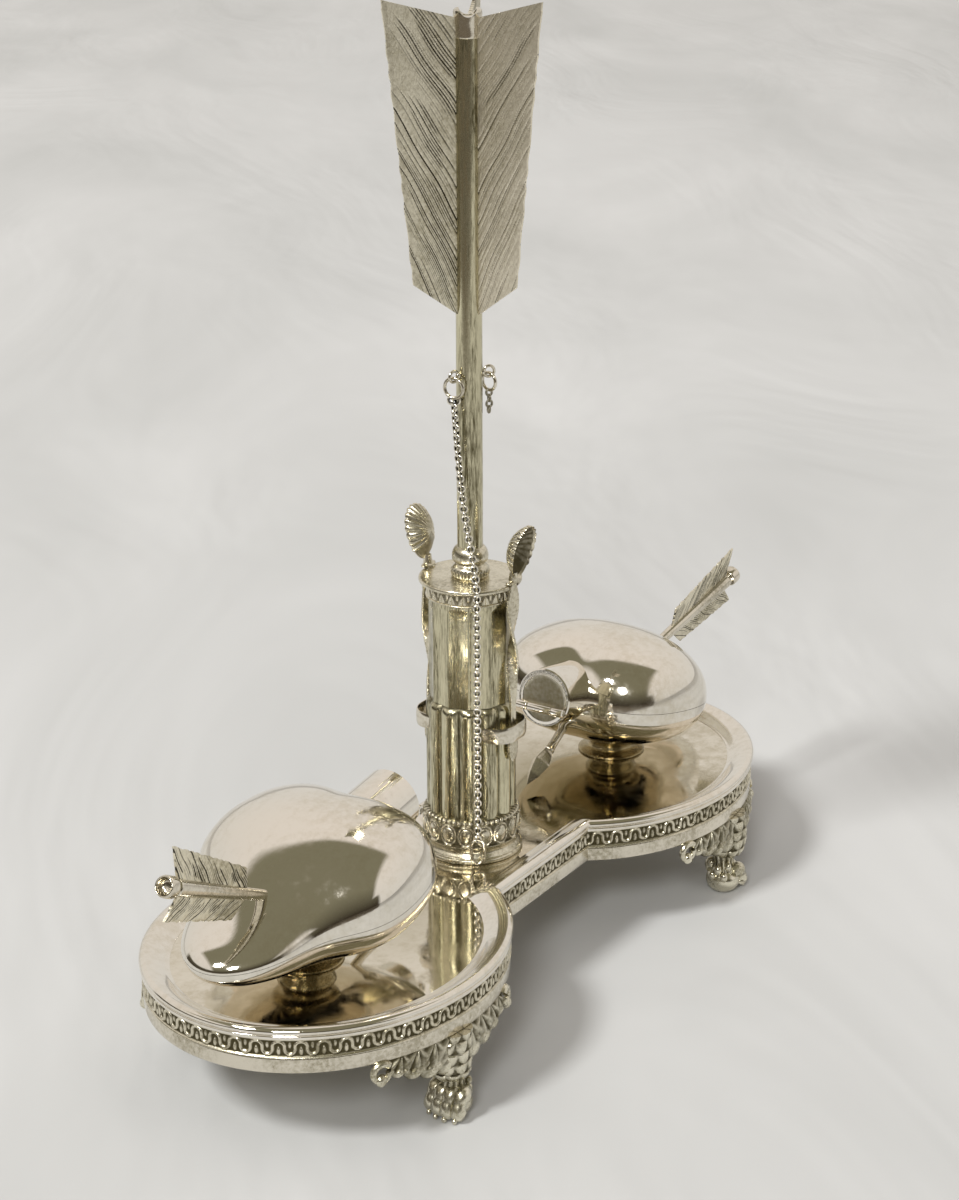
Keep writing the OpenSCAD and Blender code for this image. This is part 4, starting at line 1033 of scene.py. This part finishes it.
TAIL_PROFILE = [(1.5, -3.9), (1.65, -0.1), (1.75, 8.0), (2.45, TAIL - 5.2), (2.45, TAIL - 4.7),
                (1.9, TAIL - 4.3), (1.9, TAIL - 3.7), (2.9, TAIL - 3.3), (3.1, TAIL - 2.6), (3.1, TAIL - 0.4),
                (2.9, TAIL + 0.4), (2.5, TAIL + 0.6), (2.2, TAIL - 0.3), (2.0, TAIL - 1.8), (0.3, TAIL - 2.0)]
LOW_CORNERS = [(1.5, TAIL - 37), (7.4, TAIL - 33), (9.2, TAIL - 3.2), (1.5, TAIL - 6.5)]
HIGH_CORNERS = [(1.5, TAIL - 37), (7.2, TAIL - 34), (10.6, TAIL + 0.6), (1.5, TAIL - 5.0)]
for s in (-1, 1):
    tail = on_arrow(lathe(rounded(TAIL_PROFILE), 48), s)
    put(NAME[s] + "_arrow_tail", tail, polished, NAME[s] + "_lid_arrow_shaft", 45)
    feathers = []
    for corners, seed, angle in ((LOW_CORNERS, 40, 0), (HIGH_CORNERS, 47, 180)):
        form = vane_form(corners, 0.8, 150, 34, 32, seed + s, 0.2, 0.08)
        feathers.append(on_arrow(moved(form, turn(2, angle + (0 if s < 0 else 8))), s))
    put(NAME[s] + "_arrow_feathers", feathers, engraved, NAME[s] + "_lid_arrow_vanes", 70)
    a = angles(64)
    z = np.linspace(-20, -5, 40)[:, None]
    w = np.interp(z, [-20, -16, -11.5, -7.5, -5], [0.15, 2.4, 3.6, 2.4, 1.3])
    star = lambda x: np.sign(x) * np.abs(x) ** 1.9
    blade = tube(grid_of(w * star(np.cos(a)), w * star(np.sin(a)), z))
    stem = lathe(rounded([(1.3, -6.6), (1.75, -6.2), (1.75, -5.4), (1.4, -5.0), (1.4, 7.0)], 1), 28)
    bend, reach_out = (-19, 12.5) if s > 0 else (8, 6.5)
    head = [on_arrow(moved(f, turn(1, bend), (0, 0, -NOZZLE_L - reach_out)), s) for f in (blade, stem)]
    put(NAME[s] + "_arrow_point", head, polished, NAME[s] + "_arrowhead", 40)

# %% [markdown]
# ## Chains
# A belcher chain of small round links hangs from a ring on the arrow's shaft, goes over the cap's edge and
# ends above the base in one long link. Every second link is turned by a right angle. On the other side of
# the shaft a ring still carries the last links of a chain that has broken off. The links are one small
# torus, placed along the path.

# %% Lugs, rings and links
LUG_R, LUG_Z, RING_DROP = SHAFT_R + 2.2, 188.5, 0.45
LUG_AZ = {"left": 165.0, "right": -38.0}
RING_R = {"left": 3.0, "right": 2.6}
RING_SKEW = {"left": 20, "right": 26}
CHAIN_AZ, CHAIN_R, CLIP_Z = 219.0, 15.5 + 1.4, PLATE_TOP + 5.2


def stretched(form, longer):
    """A flat ring pulled out along X into a long link, by moving its two halves apart."""
    x = form[0][:, :1]
    return form[0] + longer * np.sign(x) * (np.abs(x) > 1e-9) * [1, 0, 0], form[1], form[2]


def links(path, count, big, wire, longer):
    """count links at equal steps along the path, each turned a right angle from the last."""
    s = walked(path)
    at = (np.arange(count) + 0.5) / count * s[-1]
    spot = lambda shift: np.stack([np.interp(np.clip(at + shift, 0, s[-1]), s, x) for x in path.T], 1)
    centre, ahead = spot(0), unit(spot(1) - spot(-1))
    side = unit(np.cross(centre * [1, 1, 0], ahead))
    third = np.cross(ahead, side)
    link = stretched(torus(big, wire, 14, 7), longer)
    flat, upright = np.stack([ahead, third, -side], 2), np.stack([ahead, side, third], 2)
    return [moved(link, (upright if k % 2 else flat)[k], centre[k]) for k in range(count)]


def cyl(r, degrees, z):
    """A point given by radius, direction and height."""
    return (r * math.cos(math.radians(degrees)), r * math.sin(math.radians(degrees)), z)


for side in ("left", "right"):
    az = LUG_AZ[side]
    lug = moved(moved(torus(1.6, 0.45, 32, 12), turn(0, 90)), turn(2, az), cyl(LUG_R, az, LUG_Z))
    post = moved(ball((1.0, 0.75, 1.0), (SHAFT_R + 0.3, 0, LUG_Z), 10, 16), turn(2, az))
    put("lug_" + side, [lug, post], polished, "chain_lug_" + side, 60)
    big = RING_R[side]
    hung = turn(2, az + RING_SKEW[side]) @ turn(1, 90)
    wire_ring = moved(torus(big, 0.5, 48, 12), hung, cyl(LUG_R, az, LUG_Z - RING_DROP - big))
    put("ring_" + side, wire_ring, polished, "chain_ring_" + side, 60)

az = LUG_AZ["left"]
top = LUG_Z - RING_DROP - 2 * RING_R["left"] - 1.1
knots = [cyl(LUG_R, az, top + 0.6), cyl(SHAFT_R + 3.55, 186, LUG_Z - 23.5),
         cyl(SHAFT_R + 7.35, 206, LUG_Z - 41.5), cyl(CHAIN_R - 0.5, CHAIN_AZ - 1, 130.5),
         cyl(CHAIN_R + 0.1, CHAIN_AZ, 127), *(cyl(CHAIN_R, CHAIN_AZ, z) for z in (120, 90, CLIP_Z + 3.4))]
line = np.vstack([smooth_path(knots[:5], 200)[:-1], smooth_path(knots[4:], 120)])
length = walked(line)[-1]
count = 2 * round(length / 3.0)
first = stretched(torus(1.0, 0.42, 24, 10), 0.7)
first = moved(first, turn(2, 200) @ turn(0, 90) @ turn(1, 90), cyl(LUG_R, az, top + 0.4))
# The links' dark insides are painted shade.
put("hanging_links", [first] + links(line, count, 0.84, 0.44, 0.08), linked, "long_chain", 60)
clip = stretched(torus(1.9, 0.5, 32, 10), 2.0)
clip = moved(clip, turn(2, CHAIN_AZ) @ turn(1, 90), cyl(CHAIN_R, CHAIN_AZ, CLIP_Z))
put("hanging_end_link", clip, polished, "chain_end_clip", 60)
az = LUG_AZ["right"]
top = LUG_Z - RING_DROP - 2 * RING_R["right"] - 1.1
stub = np.array([cyl(LUG_R + out, az, top + up) for out, up in ((0, 1.2), (0.1, -2.5), (-0.1, -5.6))])
put("broken_links", links(stub, 4, 0.85, 0.38, 0.1), tarnished, "short_chain", 60)
print("chain length:", round(length, 1), "mm, links:", count)

# %% [markdown]
# ## Spoons
# Each spoon hangs in its strap beside the quiver: a scallop-shell bowl at the top, turned outwards, a
# collar that rests on the cap, a stem twisted like rope, and a flat oval end. The shell is a dish whose rim
# and back follow the same ribs.

# %% Spoons
SPOON_Y, BOWL_HALF, LEAN, SPOON_LOW = 14.9, 8.3, 13.0, 69.5
NECK_Z = CAP_TOP + 2.6


def two_faced(front, back, high_front, high_back):
    """A closed dish from two grids of rings: the front from middle to rim, then the back to its middle."""
    return tube(np.concatenate([front, back[::-1]]), np.concatenate([high_front, high_back[::-1]]))


def shell_bowl(s):
    """The scallop: ribs fan out from the hinge at the neck; the back is raised along them."""
    t = angles(176)
    q = np.linspace(0.03, 1, 26)[:, None]
    rib = np.where(np.sin(t) < -0.6, 0, np.abs(np.cos(11 * t)))
    rim = 1 + 0.05 * rib * q
    flare = 0.86 + 0.14 * np.sin(t)
    x, z = 6.4 * q * rim * flare * np.cos(t), BOWL_HALF * q * rim * np.sin(t)
    deep = 1.4 - 4.2 * (1 - q ** 2.4) + 0.25 * rib * q
    front, back = grid_of(x, deep, z), grid_of(x, deep - 0.6 - 0.55 * rib * q, z)
    inside = np.where(q > 0.93, 1.0, 0.05 + 0.25 * rib * q)
    shell = moved(two_faced(front, back, inside, 0.35 + 0.65 * rib + 0 * q), shift=(0, 0.4, BOWL_HALF))
    return mirrored(moved(shell, turn(0, -LEAN), (0, SPOON_Y, NECK_Z)), 1, s)


def spoon_stem(s):
    """Stem, collar, neck and oval end, drawn for the far side and mirrored in Y."""
    z = np.linspace(SPOON_LOW + 6.0, CAP_TOP + 0.4, 190)[:, None]
    twist = math.pi * ease((z - 86) / 34)
    ca, sa = np.cos(angles(28)), np.sin(angles(28))
    broad = np.interp(z, [75, 88, 97, 108, 117, 122, 125, 127], [1.3, 1.3, 1.5, 2.2, 3.1, 3.0, 2.0, 1.3])
    rope = 1 + 0.16 * np.sin(z * 3.4) * (z > 86)
    sx = broad * np.sign(ca) * np.abs(ca) ** 0.7
    sy = (0.34 + 0.5 * np.abs(ca) ** 1.5 * rope) * np.sign(sa) * np.abs(sa) ** 0.7
    c, w = np.cos(twist), np.sin(twist)
    stem = tube(grid_of(sx * c - sy * w, SPOON_Y + sx * w + sy * c, z))
    rest = ball((3.3, 1.45, 0.75), (0, SPOON_Y, CAP_TOP + 0.72), 12, 28)
    neck_path = [(0, SPOON_Y + out, CAP_TOP + up) for out, up in ((0.1, 0.8), (0.2, 2.2), (0.25, 3.8))]
    neck = along(smooth_path(neck_path, 14), circle(1.2, 16), (0, 1, 0), np.linspace(1.25, 0.95, 14))
    t = angles(72)
    q = np.linspace(0.03, 1, 22)[:, None]
    px, pz = 2.35 * q * np.cos(t), 4.4 * q * np.sin(t)
    grain = 0.5 + 0.5 * np.cos(7.5 * px) * np.cos(5.5 * pz)
    face = 0.28 + 0.42 * bump_of(q * 0.96) + 0.16 * grain * (q < 0.85)
    high = 0.2 + 0.8 * np.where(q < 0.85, grain, 1)
    paddle = two_faced(grid_of(px, face, pz), grid_of(px, -face, pz), high, high)
    paddle = moved(paddle, shift=(0, SPOON_Y, SPOON_LOW + 4.4))
    return [mirrored(f, 1, s) for f in (stem, rest, neck, paddle)]


for s, name in ((-1, "near"), (1, "far")):
    put(f"spoon_{name}_shell", shell_bowl(s), carved, f"spoon_{name}_bowl", 60)
    put(f"spoon_{name}_handle", spoon_stem(s), carved, f"spoon_{name}_stem", 55)

# %% [markdown]
# ## Inside the boxes
# Each bowl holds a gilt plate with a glass liner hung in it: ink on the left, blotting sand on the right. The
# liner is a turned glass cup with a flat lip.

# %% Glass liners
GLASS_TOP, GLASS_LOW = -1.6, -0.78 * (BOWL_H - SHEET)
outside = [(0.2, 0), (10.4, 0), (12.4, 0.8), (13.3, 2.8)]
lip = [(13.3, -1.4), (15.8, -1.4), (16.0, -0.7), (15.6, 0), (12.4, 0), (12.0, -0.6)]
inside = [(12.0, 3.4), (10.6, 1.7), (0.2, 1.5)]
parts = ((outside, GLASS_LOW), (lip, GLASS_TOP), (inside, GLASS_LOW))
cup = rounded([(r, z + base) for part, base in parts for r, z in part])
for s, name in ((-1, "left_ink_glass"), (1, "right_sand_glass")):
    put(name + "_cup", in_heart(lathe(cup, 96), s), clear_glass, name, 60)
print("triangles so far:", sum(made_triangles.values()))

# %% [markdown]
# ## Camera, floor and light
# The photo was taken from above and to the left of the near lobe. The camera's place, direction and lens
# were fitted to measured points of the object in the photo. The stand is on a pale cloth, so the floor is a
# pale grey sheet, and mirror silver shows whatever surrounds it: a pale tent at the sides and a dimmer
# ceiling.

# %% Camera
camera_data = bpy.data.cameras.new("photo_camera")
camera_data.sensor_width, camera_data.lens = 36.0, 78.96
camera_data.clip_start, camera_data.clip_end = 0.02, 50.0
camera = placed("photo_camera", camera_data)
yaw, pitch_down, roll = np.radians([32.38, 20.35, -0.2])
away = np.array([math.cos(yaw), math.sin(yaw), 0.0])
level = np.array([math.sin(yaw), -math.cos(yaw), 0.0])
forward = math.cos(pitch_down) * away - [0, 0, math.sin(pitch_down)]
upward = np.cross(level, forward)
axes = np.eye(4)
axes[:3, 0] = math.cos(roll) * level + math.sin(roll) * upward
axes[:3, 1] = math.cos(roll) * upward - math.sin(roll) * level
axes[:3, 2] = -forward
axes[:3, 3] = -0.6208, -0.3969, 0.3917
camera.matrix_world = Matrix(axes.tolist())
bpy.context.scene.camera = camera
bpy.context.scene.view_settings.view_transform = "Standard"

# %% Floor: a wide pale sheet, flat to 4 m, that curves up far away
line_at = np.concatenate([np.linspace(-8, -1, 22), np.linspace(-0.8, 0.8, 9), np.linspace(1, 8, 22)])
rise = 0.6 * ease((np.hypot(line_at[:, None], line_at) - 4.0) / 4.0)
points = grid_of(line_at[:, None], line_at, rise).reshape(-1, 3)
floor_mesh = bpy.data.meshes.new("floor")
floor_mesh.from_pydata(points.tolist(), [], quads(len(line_at), len(line_at))[:, ::-1].tolist())
floor_mesh.shade_smooth()
placed("floor", floor_mesh)


def share_of(tree, source, direction):
    """How far the source vector goes along the given direction."""
    return node(tree, "VectorMath", set_operation="DOT_PRODUCT", i0=source, i1=direction.tolist())


TO_ROOM = -0.87 * away - 0.5 * level
cloth, shader = material("pale_cloth", Roughness=0.9, Specular_IOR_Level=0.1)
tree = cloth.node_tree
place = node(tree, "TexCoord", "Object")
drawn = node(tree, "Mapping", set_vector_type="TEXTURE", Vector=place, Rotation=(0, 0, yaw), Scale=(2.2, 1, 1))
# The cloth's colour follows a noise stretched along its folds: painted light and shade of the folds.
fold_shading = node(tree, "TexNoise", Vector=drawn, Scale=5.0, Detail=4.0, Roughness=0.55, Distortion=0.6)
creases = node(tree, "TexNoise", Vector=drawn, Scale=6.0, Detail=3.0, Distortion=1.5)
# The cloth gets paler away from the camera: painted light that evens out the lamps' falloff.
painted_light_far = span(tree, share_of(tree, place, away), -0.5, 2.3, 0.91, 1.21)
tint = mix(tree, fold_shading, (0.46, 0.466, 0.452), (0.70, 0.70, 0.69))
tint = node(tree, "VectorMath", set_operation="SCALE", i0=tint, Scale=painted_light_far)
# Towards the room, beyond about 0.7 m, the cloth turns nearly black for reflected rays only: a painted
# reflection of the dark room in the silver.
dark_room_reflection = span(tree, share_of(tree, place, TO_ROOM), 0.62, 0.75)
dark_room_reflection = maths(tree, "MULTIPLY", dark_room_reflection, node(tree, "LightPath", "Is Glossy Ray"))
feed(shader, Base_Color=mix(tree, dark_room_reflection, tint, (0.09, 0.075, 0.055)),
     Normal=node(tree, "Bump", Strength=1.0, Distance=0.005, Height=creases))
floor_mesh.materials.append(cloth)

# %% World: a pale tent, open towards the camera, fainter for the floor than for the mirrors
world = bpy.data.worlds.new("tent")
bpy.context.scene.world = world
world.use_nodes = True
tree = world.node_tree
looked = node(tree, "TexCoord", "Generated")
high = node(tree, "SeparateXYZ", "Z", i0=looked)
ahead = span(tree, share_of(tree, looked, -away), -0.27, -0.21)
beside = span(tree, maths(tree, "ABSOLUTE", share_of(tree, looked, level)), 0.70, 0.62)
opening = maths(tree, "MULTIPLY", maths(tree, "MULTIPLY", ahead, beside), span(tree, high, -0.02, 0.03))
low_part = maths(tree, "MULTIPLY", span(tree, share_of(tree, looked, TO_ROOM), 0.05, 0.15),
                 span(tree, high, 0.36, 0.30))
opening = maths(tree, "MAXIMUM", opening, low_part)
rays = node(tree, "LightPath").node.outputs
tent = mix(tree, high, (0.72, 0.70, 0.665), (0.83, 0.765, 0.71))
room = mix(tree, span(tree, high, 0.1, 0.6), (0.045, 0.036, 0.024), (0.215, 0.20, 0.135))
seen = maths(tree, "MAXIMUM", rays["Is Glossy Ray"], rays["Is Transmission Ray"])
seen = maths(tree, "MAXIMUM", seen, rays["Is Camera Ray"])
feed(tree.nodes["Background"], Strength=span(tree, seen, start=0.62),
     Color=mix(tree, maths(tree, "MULTIPLY", opening, rays["Is Glossy Ray"]), tent, room))


# %% Lamps: two soft boxes on the camera's left, as the two shadows in the photo show
def soft_box(name, aim_from, size, watts):
    """A round area lamp at aim_from, in metres, facing the middle of the stand."""
    data = bpy.data.lights.new(name, "AREA")
    data.shape, data.size, data.energy = "DISK", size, watts
    lamp = placed(name, data)
    lamp.location = aim_from
    lamp.rotation_mode = "QUATERNION"
    lamp.rotation_quaternion = (Vector((0, 0, 0.06)) - lamp.location).to_track_quat("-Z", "Y")


soft_box("key_lamp", -level * 2.82 - away * 2.64 + [0, 0, 4.54], 1.15, 250.0)
soft_box("fill_lamp", -level * 0.88 - away * 4.75 + [0, 0, 3.66], 1.5, 135.0)

# %% [markdown]
# ## The end
# Every CAD node that no piece stands for keeps its own mesh and takes the finish of its record slot.

# %% Finishes for carried-over nodes, size, and the end
BY_SLOT = {"polished_silver": polished, "mirror_silver": mirror, "tarnished_silver": tarnished,
           "engraved_silver": engraved, "gilt_silver": gilt, "clear_glass": clear_glass}
carried_over = [n for n, o in frame["nodes"].items() if not o.hide_render]
for n in carried_over:
    piece = frame["nodes"][n]
    piece.data.materials.clear()
    piece.data.materials.append(BY_SLOT[SLOT[n]])
print("pieces built:", len(made_triangles), "triangles:", sum(made_triangles.values()),
      "carried over:", len(carried_over))
